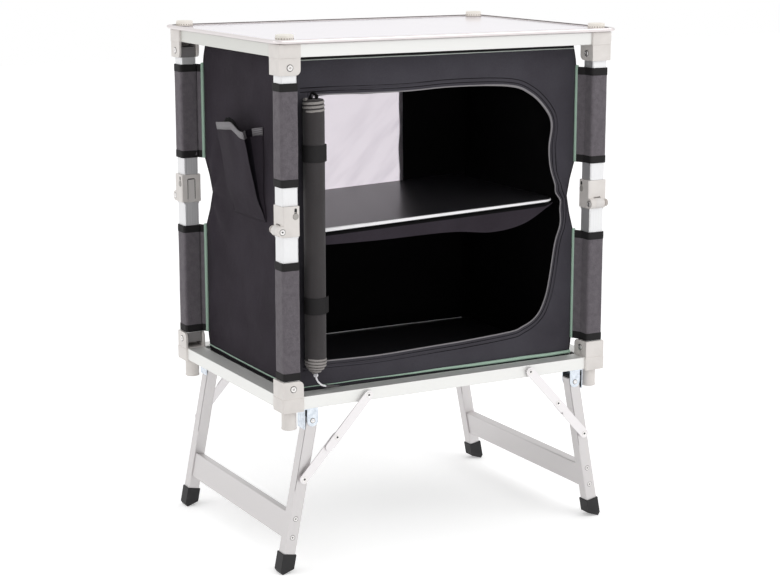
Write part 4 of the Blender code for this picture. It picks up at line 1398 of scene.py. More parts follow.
@dataclass
class Window:
    """The milky film behind the opening in the rear wall."""

    walls: Walls
    margin: float = 0.006
    rows: int = 40
    columns: int = 56
    wave: float = 0.0008
    behind: float = 0.0022
    thickness: float = 0.0005

    def build(self) -> None:
        """Make the film, creased from being folded away."""
        half = self.walls.window_half + self.margin
        tall = self.walls.window_high - self.walls.window_low + 2 * self.margin
        rows = []
        for r in range(self.rows + 1):
            z = self.walls.window_low - self.margin + tall * r / self.rows
            row = []
            for c in range(self.columns + 1):
                x = half * (2 * c / self.columns - 1)
                crease = (ripple(x + 0.9 * z, 0.0, 0.4 * z, 0.05, 3.0)
                          + 0.6 * ripple(x - 0.5 * z, 1.0, z, 0.03, 6.0))
                y = FORM.surface(Side.REAR, x, z).y - self.behind + self.wave * crease
                row.append(Vector((x, y, z)))
            rows.append(list(reversed(row)))
        shape = Shape()
        shape.grid(rows)
        film = shape.piece("window_film", (FILM,))
        thicken(film, self.thickness)
        hang(film)


@dataclass
class Sleeves:
    """The fleece sleeves on the posts, each with a black band at both ends."""

    fold_side: float = 0.0146
    back_side: float = 0.0150
    flank: float = 0.0153
    corner: float = 0.0042
    felt_rows: int = 30
    band_height: float = 0.0125
    band_lift: float = 0.0003
    cloth: float = 0.0007
    pushed_up: float = 0.0056

    def ring(self, corner: Corner, z: float, lift: float) -> list[Vector]:
        """Draw the outline of a sleeve at a height.

        Args:
            corner: The post that it is on.
            z: The height.
            lift: How far it stands outside the plain sleeve.

        Returns:
            The outline's points, anticlockwise from above.
        """
        fold, flank = corner.fold, Vector((-corner.fold.y, corner.fold.x, 0.0))
        limits = {1: self.fold_side + min(lift, 0.0), -1: self.back_side + lift}
        centres = [fold * sx * (limits[sx] - self.corner) + flank * sy * (self.flank + lift - self.corner)
                   for sx, sy in QUARTERS]
        points = []
        for start, (centre, after) in enumerate(zip(centres, centres[1:] + centres[:1])):
            turns = [math.radians(90.0 * (start + k / 4)) for k in range(5)]
            edges = [(fold * math.cos(t) + flank * math.sin(t)) * self.corner for t in turns]
            points += [corner.centre + centre + up(z) + edge for edge in edges]
            points += [corner.centre + centre.lerp(after, k / 5) + edges[-1] + up(z) for k in range(1, 5)]
        return points

    def build(self) -> None:
        """Make the eight sleeves, each on its own half of a post."""
        for corner in Corner:
            for half, (low, high) in SLEEVE_SPANS.items():
                foot = self.band(corner, low, low + self.band_height)
                head = self.band(corner, high - self.band_height, high)
                nets = {"sleeve": [self.felt(corner, low, high)], "sleeve_band": [foot, head]}
                still = {}
                if half == "lower":
                    nets.update({"sleeve_band": [head], "sleeve_foot_band": [foot]})
                    still = {"sleeve": high, "sleeve_foot_band": low + self.band_height}
                for name, parts in nets.items():
                    shape = Shape()
                    for part in parts:
                        shape.grid(part, round_rows=True)
                    finish = FLEECE if name == "sleeve" else BLACK_TAPE
                    made = shape.piece(f"{name}_{half}_{corner.code}", (finish,), 50.0)
                    thicken(made, self.cloth)
                    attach(made, f"{half}_post_{corner.code}")
                    if name in still:
                        still[name]
                        1.0 - self.pushed_up / (still[name] - low)
                        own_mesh(made)

    def felt(self, corner: Corner, low: float, high: float) -> list[list[Vector]]:
        """Draw a sleeve's felt, which gives a little between its bands.

        Args:
            corner: Its post.
            low: The sleeve's lower end.
            high: The sleeve's upper end.

        Returns:
            Its rings.
        """
        rings = []
        for r in range(self.felt_rows + 1):
            z = low + 0.004 + (high - low - 0.008) * r / self.felt_rows
            ring = []
            for point in self.ring(corner, z, 0.0):
                out = point - corner.centre
                out.z = 0.0
                give = 0.00035 * ripple(point.x, point.y, z, 0.028, 5.0) - 0.0002
                ring.append(point + out.normalized() * give)
            rings.append(ring)
        return rings

    def band(self, corner: Corner, start: float, end: float) -> list[list[Vector]]:
        """Draw the rings of a sleeve's band, whose edges are tucked in."""
        rings = ((start, -9e-4), (start + 4e-4, 0), ((start + end) / 2, 1e-4), (end - 4e-4, 0), (end, -9e-4))
        return [self.ring(corner, z, self.band_lift + lift) for z, lift in rings]


@dataclass
class DoorRoll:
    """The door, rolled up beside its opening, with its zip wound round both ends and two straps."""

    x: float = -0.2306
    y: float = -0.18605
    low: float = 0.3135
    high: float = 0.7405
    radius: float = 0.0166
    sides: int = 40
    ring_span: float = 0.019
    crown: Pairs = ((0.0012, 0.012), (0.0010, 0.002))
    turns: int = 3
    low_turns: int = 5
    coil_radius: float = 0.0026
    coil_sunk: float = 0.0016
    winding_start: float = 0.001
    draw_in: float = 0.72
    strap_heights: tuple[float, float] = (0.422, 0.657)
    strap_tall: float = 0.026
    strap_lift: tuple[float, float] = (0.0004, 0.0011)
    strap_tabs: tuple[float, float] = (0.0046, 0.0030)
    tie_steps: tuple[Triple, ...] = (
        (-0.008, -0.006, -0.004), (-0.009, -0.007, 0.003), (-0.004, -0.003, 0.0075),
        (0.002, -0.006, 0.004), (-0.001, -0.009, 0.001), (0.005, -0.004, 0.003), (0.007, 0.002, -0.004))
    cord_radius: float = 0.0015
    cord_steps: tuple[Triple, ...] = (
        (0.0, 0.0, 0.0), (0.0002, -0.0004, -0.0078), (0.0030, -0.0010, -0.0145), (0.0082, -0.0012, -0.0198),
        (0.0130, -0.0012, -0.0226), (0.0170, -0.0010, -0.0236))
    grip_steps: tuple[Triple, ...] = ((0.0, 0.0, 0.0), (0.008, 0.0004, -0.0012), (0.024, 0.0010, -0.0032))
    grip_radius: float = 0.0031
    knot_radius: float = 0.0021

    def around(self, z: float, radius: float, rough: float = 0.0004) -> list[Vector]:
        """Draw a ring of the roll, with shallow folds running down it.

        Args:
            z: Its height.
            radius: Its radius.
            rough: The depth of its folds.

        Returns:
            Its points.
        """
        points = []
        for t in turns_of(self.sides):
            east, north = math.cos(t), math.sin(t)
            long = ripple(east, north, z * 2.5, 0.35, 2.2)
            short = ripple(east, north, z * 14.0, 0.5, 8.0)
            r = radius + rough * (long + 0.5 * short)
            points.append(Vector((self.x + r * east, self.y + r * north, z)))
        return points

    def build(self) -> None:
        """Make the roll, its zip windings, its crumpled top, its straps and its pull."""
        shape = Shape()
        low = self.low + self.ring_span + 0.006
        high = self.high - self.ring_span - 0.002
        rows = [self.around(low + (high - low) * r / 70, self.radius) for r in range(71)]
        shape.grid(rows, round_rows=True)
        bottom = [self.around(low - (low - self.low) * share, self.narrowed(share) - 0.0012)
                  for share in (1.0, 0.8, 0.6, 0.4, 0.1)]
        top = [self.around(high + self.ring_span, self.radius - 0.0016)]
        top += [self.around(self.high - below, radius) for below, radius in self.crown]
        shape.grid(bottom + rows[:1], round_rows=True)
        shape.grid(rows[-1:] + top, round_rows=True)
        shape.cap(bottom[0], turned=True)
        shape.cap(top[-1])
        roll = shape.piece("door_roll_cloth", (DOOR_CLOTH,), 60.0)
        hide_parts("door_roll")
        self.stand(roll)
        self.zip_windings(low, high)
        self.straps()
        self.tie()
        self.pull()

    def stand(self, piece: bpy.types.Object) -> None:
        """Let a piece of the roll stand on the base frame with the cabinet."""
        hang(piece)

    def narrowed(self, share: float) -> float:
        """The roll's radius at a share of the way down its lower end, which the zip draws together."""
        drawn = max(0.0, (share - 0.35) / 0.65) ** 1.6
        return self.radius * (1.0 - self.draw_in * drawn)

    def zip_windings(self, low: float, high: float) -> None:
        """Wind the zip's coil round the roll at both ends.

        Args:
            low: The height at which the lower windings start, going down.
            high: The height at which the upper windings start, going up.
        """
        windings = Shape()
        for start, end, turns in ((low - self.winding_start, self.low + self.winding_start, self.low_turns),
                                  (high + self.winding_start, high + self.ring_span, self.turns)):
            path = []
            steps = turns * 24
            for i in range(steps + 1):
                share = i / steps
                t = math.radians(200.0) + math.tau * turns * share
                crowned = self.radius * (1.0 - 0.06 * share ** 2)
                r = (self.narrowed(share) if end < start else crowned) - self.coil_sunk
                path.append(Vector((self.x + r * math.cos(t), self.y + r * math.sin(t),
                                    start + (end - start) * share)))
            windings.tube(path, self.coil_radius, sides=8, flat=0.8)
        self.stand(windings.piece("zip_windings", (ZIP_TAPE,)))

    def tie(self) -> None:
        """Tuck the end of the cloth's tie into the top of the roll, where it sticks out crumpled."""
        line = [Vector((self.x + dx, self.y + dy, self.high + dz)) for dx, dy, dz in self.tie_steps]
        shape = Shape()
        shape.tube(smooth_line(line, 6), lambda share: 0.0022 + 0.0011 * math.sin(19.0 * share), 9, flat=0.6)
        self.stand(shape.piece("roll_tie", (LINING,)))

    def pull(self) -> None:
        """Hang the zip's cord from the roll's lower end, its moulded grip lying on the base rail."""
        start = Vector((self.x, self.y, self.low + 0.001))
        path = smooth_line([start + Vector(step) for step in self.cord_steps], 8)
        length = sum((b - a).length for a, b in zip(path, path[1:]))
        shape = Shape()
        shape.tube(path, self.cord_radius)
        cord = shape.piece("zip_pull_cord", (CORD_COVER,))
        grip_line = smooth_line([path[-1] + Vector(step) for step in self.grip_steps], 6)
        shape = Shape()
        shape.tube(grip_line, lambda share: self.grip_radius * (1.0 - 0.6 * share), sides=12)
        grip = shape.piece("zip_pull_grip", (GRIP_NYLON,))
        place = start + Vector((0.0002, -0.0002, -0.0045))
        line = []
        for i in range(49):
            t = math.tau * i / 48
            line.append(place + Vector((
                self.knot_radius * (math.sin(t) + 0.7 * math.sin(2 * t)),
                self.knot_radius * 0.6 * (math.cos(t) - 0.7 * math.cos(2 * t)) - 0.0006,
                self.knot_radius * 0.9 * -math.sin(3 * t))))
        shape = Shape()
        shape.tube(line, self.cord_radius * 0.6, sides=8)
        knot = shape.piece("zip_pull_knot", (CORD_COVER,))
        for piece in (cord, grip, knot):
            hang(piece)
        path[0]

    def straps(self) -> None:
        """Make the two straps that hold the roll, each with a tab standing out on its right."""
        half = self.strap_tall / 2
        edge, lift = self.strap_lift
        profile = ((-half, edge), (-half + 0.0006, lift), (half - 0.0006, lift), (half, edge))
        for i, (z, tab) in enumerate(zip(self.strap_heights, self.strap_tabs)):
            rows = []
            for dz, out in profile:
                ring = self.around(z + dz, self.radius + out, 0.0002)
                for turn, p in zip(turns_of(self.sides), ring):
                    aside = math.atan2(math.sin(turn + 0.1), math.cos(turn + 0.1))
                    p.x += tab * math.exp(-(aside / 0.35) ** 2)
                rows.append(ring)
            shape = Shape()
            shape.grid(rows, round_rows=True)
            self.stand(shape.piece(f"roll_strap_{i + 1}", (BLACK_TAPE,)))


@dataclass
class Shelf:
    """The dressing of the shelf board: its pale edging and the sling that carries it."""

    half_x: float = 0.228
    half_y: float = 0.160
    corner: float = 0.022
    centre_z: float = 0.5386
    tilt: float = math.radians(2.06)
    thickness: float = 0.0065
    sling_half: float = 0.225
    sling_front: float = -0.1572
    sling_depth: float = 0.31
    front_rows: int = 8
    under_rows: int = 22
    sling_edge: Pairs = (
        (-0.225, 0.5085), (-0.109, 0.5074), (0.027, 0.5090), (0.106, 0.5023), (0.1665, 0.5108),
        (0.2134, 0.5347), (0.225, 0.5422))

    def at(self, x: float, y: float, z: float) -> Vector:
        """A point of the tilted shelf, counted from the board's middle."""
        return Vector((x * math.cos(self.tilt) - z * math.sin(self.tilt), y,
                       self.centre_z + x * math.sin(self.tilt) + z * math.cos(self.tilt)))

    def build(self) -> None:
        """Make the edging and the sling."""
        shape = Shape()
        half = self.thickness / 2
        profile = ((0.0002, -half + 0.0008), (0.0010, -half + 0.0012), (0.0012, 0.0), (0.0010, half - 0.0006),
                   (0.0002, half - 0.0001), (-0.0010, half + 0.0003), (-0.0016, half + 0.0001))
        rows = []
        for grow, z in profile:
            plan = rounded_rectangle(self.half_x + grow, self.half_y + grow, self.corner + grow)
            rows.append([self.at(p.x, p.y, z * (1.0 - 0.5 * ramp(p.x, 0.17, self.half_x))) for p in plan])
        shape.grid(rows, round_rows=True)
        edging = shape.piece("shelf_edging", (EDGE_BAND_AND_LIGHT_LINE,), 50.0)
        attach(edging, "shelf")
        self.sling()

    def sling(self) -> None:
        """Make the cloth under the board, whose front edge hangs down in a slack curve."""
        low_edge = smooth_line([Vector((x, z, 0.0)) for x, z in self.sling_edge], 9)
        rows = []
        for r in range(self.front_rows + self.under_rows + 1):
            under = r - self.front_rows
            row = []
            for low in low_edge:
                top = self.at(low.x, 0.0, -self.thickness / 2 - 0.0006).z
                drop = max(0.0014, top - low.y)
                if under <= 0:
                    bound = min(0.0058 / drop, 0.6)
                    z = bound * min(r, 1) + (1.0 - bound) * max(0, r - 1) / (self.front_rows - 1)
                    wave = 0.0016 * math.sin(math.pi * z)
                    y = self.sling_front - wave * ripple(low.x, 0.0, 0.0, 0.03, 3.0)
                else:
                    y = self.sling_front + self.sling_depth * under / self.under_rows
                    z = 1.0 - ramp(under, 0.0, 9.0)
                row.append(Vector((low.x, y, top - drop * z)))
            rows.append(list(reversed(row)))
        shape = Shape()
        # The top two rows, just under the board's front edge, are black.
        shape.grid(rows[:2], 1)
        shape.grid(rows[1:])
        # The sling takes the darker charcoal, which paints the shade under the shelf.
        sling = shape.piece("shelf_sling", (SHADED_CHARCOAL, LINING), 70.0)
        thicken(sling, 0.0008)
        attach(sling, "shelf")
        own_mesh(sling)


@dataclass
class SidePocket:
    """The cloth pocket on the left wall, its mouth gaping towards the front."""

    rear: float = 0.056
    front: float = -0.062
    low: float = 0.534
    rear_top: float = 0.682
    front_top: float = 0.6762
    wall_top: float = 0.6842
    mouth_rise: float = 0.0120
    mouth_fall: float = 0.85
    level_mouth: float = 0.64
    rear_gape: float = 0.0285
    front_gape: float = 0.0331
    tuck: float = 0.014
    face_columns: int = 30
    gusset_columns: int = 8
    lip_height: float = 0.0112
    lip_in_fold_shade: tuple[int, int] = (41, 44)

    def wall(self, y: float, z: float) -> float:
        """The left wall's outside at a point, less the pocket's own distance from it."""
        return FORM.surface(Side.LEFT, y, z).x - 0.0012

    def panel_point(self, u: float, v: float) -> Vector:
        """Find a point of the pocket's front.

        Args:
            u: Its place from the rear, 0, to the front, 1.
            v: Its place from the seam at the foot, 0, to the mouth, 1.

        Returns:
            The point.
        """
        y = self.rear + (self.front - self.rear) * u
        level = min(u / self.level_mouth, 1.0) - self.mouth_fall * ramp(u, self.level_mouth - 0.04, 0.92)
        top = self.rear_top + (self.front_top - self.rear_top) * u + self.mouth_rise * level
        z = self.low + (top - self.low) * v
        gape = (self.rear_gape + (self.front_gape - self.rear_gape) * u) * v ** 0.85
        bow = 0.004 * math.sin(math.pi * u) * ramp(v, 0.0, 0.5)
        give = 0.0011 * ripple(0.0, y, z, 0.035, 4.0) * ramp(v, 0.0, 0.2)
        return Vector((self.wall(y, z) - gape - bow - give, y, z))

    def gusset_point(self, edge: Vector, share: float, v: float, sign: float) -> Vector:
        """Find a point of a gusset, which folds inward.

        Args:
            edge: The point of the pocket's front that it starts from.
            share: Its place from there, 0, to the wall, 1.
            v: Its place from the foot, 0, to the mouth, 1.
            sign: 1 for the rear gusset, -1 for the front one.

        Returns:
            The point.
        """
        y_wall = edge.y + sign * 0.004 * v
        x_wall = self.wall(y_wall, edge.z)
        tuck = self.tuck * v * math.sin(math.pi * share) * -sign
        sag = 0.0008 * v ** 4 * math.sin(math.pi * min(1.0, 1.25 * share))
        rise = self.wall_top - self.front_top - self.mouth_rise * (1.0 - self.mouth_fall)
        lift = rise * share * v if sign < 0 else 0.0
        return Vector((edge.x + (x_wall - edge.x) * share, edge.y + (y_wall - edge.y) * share + tuck,
                       edge.z + lift - sag))

    def build(self) -> None:
        """Make the pocket's front with its two gussets, and the grey ribbed tape round its mouth."""
        wide, deep = self.face_columns, self.gusset_columns
        rows = []
        for r in range(37):
            v = r / 36
            face = [self.panel_point(c / wide, v) for c in range(wide + 1)]
            rear = [self.gusset_point(face[0], 1 - k / deep, v, 1.0) for k in range(deep)]
            front = [self.gusset_point(face[-1], k / deep, v, -1.0) for k in range(1, deep + 1)]
            rows.append(rear + face + front)
        shape = Shape()
        front_start = deep + wide
        middle = front_start + deep // 2
        # The rear gusset and the inward half of the front one get the black lining; on the front gusset it
        # paints the shade of the fold.
        for first, last, finish in ((0, deep, 1), (deep, front_start, 0), (front_start, middle, 1),
                                    (middle, front_start + deep, 0)):
            shape.grid([row[first:last + 1] for row in rows], finish)
        panel = shape.piece("side_pocket", (SHADED_CHARCOAL, POCKET_LINING_AND_SHADE, POCKET_LINING_AND_SHADE), 60.0)
        thicken(panel, 0.0010, 1)
        self.flatten(panel)
        self.lip(rows)

    def lip(self, rows: Sequence[Sequence[Vector]]) -> None:
        """Bind the mouth with tape that laps over its edge.

        Args:
            rows: The pocket's points, row by row from its foot to its mouth.
        """
        share, full = math.modf(self.lip_height / (self.rear_top - self.low) * (len(rows) - 1))
        above, below = rows[-1 - int(full)], rows[-2 - int(full)]
        top, low = rows[-1], [a.lerp(b, share) for a, b in zip(above, below)]
        out = []
        for before, after in zip(top[:1] + top[:-1], top[1:] + top[-1:]):
            along = (after - before).normalized()
            out.append(Vector((along.y, -along.x, 0.0)) * 0.0007)
        net = [[q + d for q, d in zip(low, out)], [q + d for q, d in zip(top, out)],
               [q + up(0.0008) for q in top],
               [q - d * 3.0 for q, d in zip(top, out)], [q - d * 3.0 for q, d in zip(low, out)]]
        tape = Shape()
        # The tape where it dips into the front gusset's fold gets the black lining as painted shade.
        start, end = self.lip_in_fold_shade
        for first, last, finish in ((0, start, 0), (start - 1, end, 1), (end - 1, len(top), 0)):
            tape.grid([row[first:last] for row in net], finish)
        face = slice(self.gusset_columns, self.gusset_columns + self.face_columns + 1)
        # The black lining crumpled up behind the lip; it is drawn most of the way along the mouth, so it also
        # paints the shade inside the pocket.
        inside = [q - d * 2.0 for q, d in zip(top[face], out[face])]
        tape.grid([inside, [q + self.crumpled(k / self.face_columns, p.y)
                            for k, (q, p) in enumerate(zip(inside, top[face]))]], 2)
        strip = tape.piece("pocket_lip", (LIP_TAPE, POCKET_LINING_AND_SHADE, LINING), 70.0)
        thicken(strip, 0.0004)
        self.flatten(strip)

    def crumpled(self, u: float, y: float) -> Vector:
        """How far the black lining stands up, crumpled, at a share of the mouth's width and at that y."""
        rise = ramp(u, 0.3, 0.42) * (1.0 - ramp(u, 0.5, 1.05)) * (0.7 + 0.5 * ripple(0.0, y, 0.0, 0.006, 6.0))
        return Vector((0.0015, 0.0, 0.0105 * rise))

    def flatten(self, piece: bpy.types.Object) -> None:
        """Let a piece of the pocket stand on the base frame, with a mesh of its own."""
        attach(piece, "bottom_frame")
        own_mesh(piece)


# Fastenings


def lock_face(corner: Corner) -> Vector:
    """The direction that a lock's button faces."""
    return Vector((0, corner.side_y, 0)) if corner.fold.x else Vector((-1, 0, 0))


@dataclass
class Rivets:
    """The bright hollow rivets at every pin, with painted shade in each hollow's middle and round each head.
    """

    radius: float = 0.0046
    height: float = 0.0011
    pin_reach: float = 0.0180
    lock_reach: float = 0.0173
    lock_offset: float = 0.0152
    leg_pin_y: float = 0.2035
    leg_face_y: float = 0.2010
    crossbar_pins: tuple[float, float] = (0.1584, 0.1886)
    rail_link_pins: Pairs = ((0.1507, 0.274), (0.206694, 0.213152))
    leg_link_pin: tuple[float, float] = (0.262688, 0.152303)
    link_y: tuple[float, float] = (0.2116, 0.2084)
    dome: Pairs = (
        (0.0062, -0.001), (0.0058, 0.0003), (0.0044, 0.0008), (0.0022, 0.0011), (0.0004, 0.0012))

    def head(self, shape: Shape, place: Vector, direction: Vector, size: float = 1.0) -> None:
        """Add one rivet head.

        Args:
            shape: What it is added to.
            place: The middle of its seat.
            direction: Where it faces.
            size: Its size as a share of the usual one.
        """
        r, h = self.radius * size, self.height * size
        profile = ((r * 1.16, -0.0004), (r * 1.12, h * 0.12), (r, h * 0.12), (r * 0.9, h * 0.8),
                   (r * 0.48, h), (r * 0.32, h * 0.4), (r * 0.06, h * 0.3))
        # The ring round the head and the floor of its hollow get the painted shade.
        shape.lathe(profile, facing(place, direction), 20, (1, 1, 0, 0, 0, 1))

    def build(self) -> None:
        """Make the rivets by the body they sit on, and a dome on each lock's side without a button."""
        made: dict[str, Shape] = defaultdict(Shape)
        for corner in Corner:
            for sign in (-1, 1):
                out = corner.pin_axis * sign
                for z, body in ((LOWER_PIN_Z, "bottom_frame"), (UPPER_PIN_Z, "top_frame")):
                    self.head(made[body], corner.centre + up(z) + out * self.pin_reach, out)
                lock = corner.centre - corner.fold * self.lock_offset + up(LOCK_PIN_Z) + out * self.lock_reach
                shape = made[f"upper_post_{corner.code}"]
                if out.dot(lock_face(corner)) > 0:
                    self.head(shape, lock, out, 0.95)
                else:
                    shape.lathe(self.dome, facing(lock, out), 20, (2, 2, 2, 2))
            sx, sy = corner.side_x, corner.side_y
            legs = "left_legs" if sx < 0 else "right_legs"
            seats = [("bottom_frame", LEG_PIVOT_X, self.leg_pin_y, LEG_PIVOT_Z, 0.8)]
            seats += [(legs, LEG_PIVOT_X + s * math.sin(LEG_SPLAY), self.leg_face_y,
                       LEG_PIVOT_Z - s * math.cos(LEG_SPLAY), 0.82) for s in self.crossbar_pins]
            seats += [(f"rail_link_{corner.code}", x, self.link_y[0], z, 1.1) for x, z in self.rail_link_pins]
            x, z = self.leg_link_pin
            seats.append((f"leg_link_{corner.code}", x, self.link_y[1], z, 1.1))
            for body, x, y, z, size in seats:
                self.head(made[body], Vector((sx * x, sy * y, z)), Vector((0, sy, 0)), size)
        for body, shape in made.items():
            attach(shape.piece(f"rivets_{body}", (RIVET_ZINC, RECESS_SHADE, PALE_NYLON)), body)


@dataclass
class CornerFittings:
    """What is moulded on the corner blocks: round caps with a dotted relief, and a collar round each."""

    cap_radius: float = 0.0138
    board_top: float = 0.8287
    cap_top: float = 0.8371
    dots: int = 20
    collar_half: float = 0.0185
    collar_round: float = 0.0022
    collars: tuple[tuple[str, float, float], ...] = (
        ("bottom_frame", 0.2642, 0.2835), ("top_frame", 0.8028, 0.8234))

    def build(self) -> None:
        """Make the caps and the collars."""
        caps = Shape()
        for corner in Corner:
            r, low, high = self.cap_radius, self.board_top, self.cap_top
            profile = ((r + 0.0002, low), (r + 0.0002, low + 0.0005), (r, low + 0.0006), (r, high - 0.0016),
                       (r - 0.0006, high - 0.0006), (r - 0.0018, high), (r * 0.3, high + 0.0001))
            caps.lathe(profile, Matrix.Translation(corner.centre), 40, (1, 1, 0, 0, 0, 0))
            for k in range(self.dots):
                t = math.tau * (k + 0.5) / self.dots
                out = Vector((math.cos(t), math.sin(t), 0.0))
                place = facing(corner.centre + out * r + up(low + 0.0024), out)
                caps.lathe(((0.0010, -0.0003), (0.0009, 0.00025), (0.0003, 0.0003)), place, 8, (1, 1))
        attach(caps.piece("round_caps", (CAP_NYLON, DOT_NYLON)), "top_frame")
        for body, low, high in self.collars:
            rings = Shape()
            profile = ((-0.0008, low), (0.0, low + 0.0004), (0.0, high - 0.0004), (-0.0008, high))
            for corner in Corner:
                rows = []
                for grow, z in profile:
                    half = self.collar_half + grow
                    plan = rounded_rectangle(half, half, self.collar_round, 4)
                    rows.append([corner.centre + p + up(z) for p in plan])
                rings.grid(rows, round_rows=True)
                rings.cap(rows[0], turned=True)
                rings.cap(rows[-1])
            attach(rings.piece(f"block_collars_{body}", (PALE_NYLON,), 50.0), body)


@dataclass
class LockDetails:
    """The locks' openings, painted as dark shade: the key slot by each button, and slit and grooves round
    each tongue.
    """

    face: float = 0.0173
    front: float = 0.0139
    button_shift: float = 0.0070
    slot_z: float = 0.5757
    slot_half: tuple[float, float] = (0.0021, 0.0030)
    slit_z: float = 0.5740
    slit_half: tuple[float, float] = (0.0060, 0.0008)
    groove_aside: float = 0.0066
    groove_z: float = 0.5565
    groove_half: tuple[float, float] = (0.0004, 0.0165)
    sunk: float = 0.0006
    proud: float = 0.00012

    def build(self) -> None:
        """Make the openings of every lock."""
        for corner in Corner:
            shape = Shape()
            fold, button = corner.fold, lock_face(corner)
            at_slot = corner.centre + button * self.face + fold * self.button_shift + up(self.slot_z)
            self.opening(shape, at_slot, button, fold, self.slot_half)
            front = fold * self.front
            self.opening(shape, corner.centre + front + up(self.slit_z), fold, button, self.slit_half)
            for sign in (-1, 1):
                aside = front + button * (sign * self.groove_aside)
                self.opening(shape, corner.centre + aside + up(self.groove_z), fold, button, self.groove_half)
            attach(shape.piece(f"lock_openings_{corner.code}", (RECESS_SHADE,)), f"upper_post_{corner.code}")

    def opening(self, shape: Shape, place: Vector, out: Vector, along: Vector,
                half: tuple[float, float]) -> None:
        """Add one opening as a dark plate with round corners, set into a face, which paints the shade inside
        it.

        Args:
            shape: What it is added to.
            place: Its middle.
            out: Where the face looks.
            along: The way of its width.
            half: Half its width and half its height.
        """
        plan = rounded_rectangle(half[0], half[1], min(half) * 0.9, 4)
        rows = [[place + along * p.x + up(p.y) + out * h for p in plan] for h in (-self.sunk, self.proud)]
        if along.cross(up(1.0)).dot(out) < 0:
            rows = [list(reversed(row)) for row in rows]
        shape.grid(rows, round_rows=True)
        shape.cap(rows[1])


@dataclass
class WorktopRim:
    """The rounded metal rim round the worktop, and a grey strip inside it: painted shade on its inner side.
    """

    inner: Triple = (0.3022, 0.2122, 0.0240)
    outer: Triple = (0.3056, 0.2156, 0.0115)
    rim: Pairs = (
        (0.0, 0.8282), (0.0, 0.8298), (0.12, 0.8302), (0.5, 0.8303), (0.82, 0.8295), (1.0, 0.8278),
        (0.95, 0.8260), (0.7, 0.8245), (0.2, 0.8238))
    inner_shade: Pairs = (
        (-0.35, 0.8280), (-0.3, 0.8283), (-0.08, 0.8297), (0.0, 0.8299), (0.05, 0.8285))

    def ring(self, share: float, z: float) -> list[Vector]:
        """The rim's outline at a share of its width and a height."""
        sizes = [a + (b - a) * share for a, b in zip(self.inner, self.outer)]
        return [p + up(z) for p in rounded_rectangle(*sizes, steps=10, sides=12)]

    def build(self) -> None:
        """Make the rim, which is closed all round its section, and the strip of painted shade."""
        for name, profile, finish, closed in (("worktop_rim", self.rim, RIM_ALUMINIUM, True),
                                              ("worktop_seal", self.inner_shade, INNER_RIM_SHADE, False)):
            shape = Shape()
            rows = [self.ring(share, z) for share, z in profile]
            shape.grid(rows, round_rows=True, round_columns=closed)
            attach(shape.piece(name, (finish,), 60.0), "top_frame")


@dataclass
class RearLightLine:
    """A pale bead along the back of the floor board, painted in as the line of light that shows there."""

    half: float = 0.245
    y: float = 0.1655
    z: float = 0.2818
    steps: int = 40

    def build(self) -> None:
        """Make the line of light as a low pale bead."""
        line = [Vector((self.half * (2 * k / self.steps - 1), self.y,
                        self.z + 0.0002 * ripple(k / 8.0, 0, 0, 1.0))) for k in range(self.steps + 1)]
        shape = Shape()
        shape.tube(line, 0.0006, sides=8)
        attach(shape.piece("floor_edging", (EDGE_BAND_AND_LIGHT_LINE,)), "bottom_frame")


# Studio


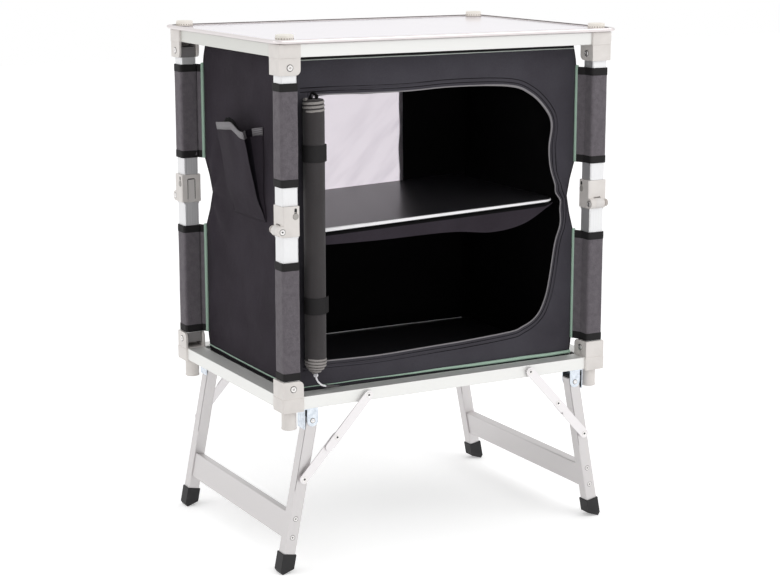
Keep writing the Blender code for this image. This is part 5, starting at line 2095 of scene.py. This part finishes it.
@dataclass
class Studio:
    """The floor, the light and the camera."""

    azimuth: float = -28.864
    elevation: float = 11.919
    distance: float = 3.1022
    target: Triple = (0.0034, 0.0, 0.3831)
    lens: float = 84.69
    floor_lines: tuple[float, ...] = (-9.0, -1.5, 1.5, 9.0)
    sky: float = 0.80
    lamp_size: tuple[float, float] = (2.2, 1.6)
    lamp_target: Triple = (0.0, 0.0, 0.45)
    lamps: tuple[tuple[str, Triple, float], ...] = (
        ("front_soft_box", (1.1, -2.2, 2.3), 20.0), ("side_soft_box", (-2.4, 0.7, 1.7), 9.0))

    def camera(self) -> None:
        """Put the camera where the picture was taken from."""
        data = bpy.data.cameras.new("camera")
        data.lens = self.lens
        data.sensor_width = 36.0
        data.clip_start, data.clip_end = 0.05, 60.0
        turn, rise = math.radians(self.azimuth), math.radians(self.elevation)
        back = Vector((math.sin(turn) * math.cos(rise), -math.cos(turn) * math.cos(rise), math.sin(rise)))
        camera = self.stand("camera", data, Vector(self.target) + back * self.distance, -back)
        bpy.context.scene.camera = camera

    def stand(self, name: str, data: bpy.types.ID, place: Vector, aim: Vector) -> bpy.types.Object:
        """Stand a camera or a lamp in the studio.

        Args:
            name: Its name.
            data: The camera or the lamp.
            place: Where it stands.
            aim: The direction it looks in.

        Returns:
            Its object.
        """
        made = bpy.data.objects.new(name, data)
        bpy.context.scene.collection.objects.link(made)
        made.location = place
        made.rotation_mode = "QUATERNION"
        made.rotation_quaternion = aim.to_track_quat("-Z", "Y")
        return made

    def floor(self) -> None:
        """Lay the pale floor."""
        shape = Shape()
        shape.grid([[Vector((x, y, 0.0)) for x in self.floor_lines] for y in self.floor_lines])
        shape.piece("studio_floor", (PAPER,))

    def lights(self) -> None:
        """Light it evenly from all round, with a soft lamp in front on the right and another on the left."""
        world = bpy.data.worlds.new("studio_sky")
        bpy.context.scene.world = world
        world.use_nodes = True
        tree = world.node_tree
        tree.nodes.clear()
        strength = add_node(tree, "ShaderNodeMapRange", {0: seen_directly(tree), 3: self.sky, 4: 1.0})
        sky = add_node(tree, "ShaderNodeBackground", {"Color": linear("#ffffff"), "Strength": strength})
        add_node(tree, "ShaderNodeOutputWorld", {"Surface": sky})
        for name, place, power in self.lamps:
            data = bpy.data.lights.new(name, "AREA")
            data.shape = "RECTANGLE"
            data.size, data.size_y = self.lamp_size
            data.energy = power
            self.stand(name, data, Vector(place), Vector(self.lamp_target) - Vector(place))

    def build(self) -> None:
        """Set up the whole studio."""
        self.camera()
        self.floor()
        self.lights()
        bpy.context.scene.view_settings.view_transform = "Standard"


def main() -> None:
    """Dress the cupboard and set up its studio."""
    logging.basicConfig(level=logging.INFO, format="%(message)s")
    walls = Walls()
    groups = (
        Studio(), FrameParts(), walls, CornerTrims(), Hems(), Window(walls), Sleeves(), DoorRoll(), Shelf(),
        SidePocket(), Rivets(), CornerFittings(), LockDetails(), WorktopRim(), RearLightLine())
    for group in groups:
        group.build()
        LOG.info("built: %s", type(group).__name__)


if __name__ == "__main__":
    main()
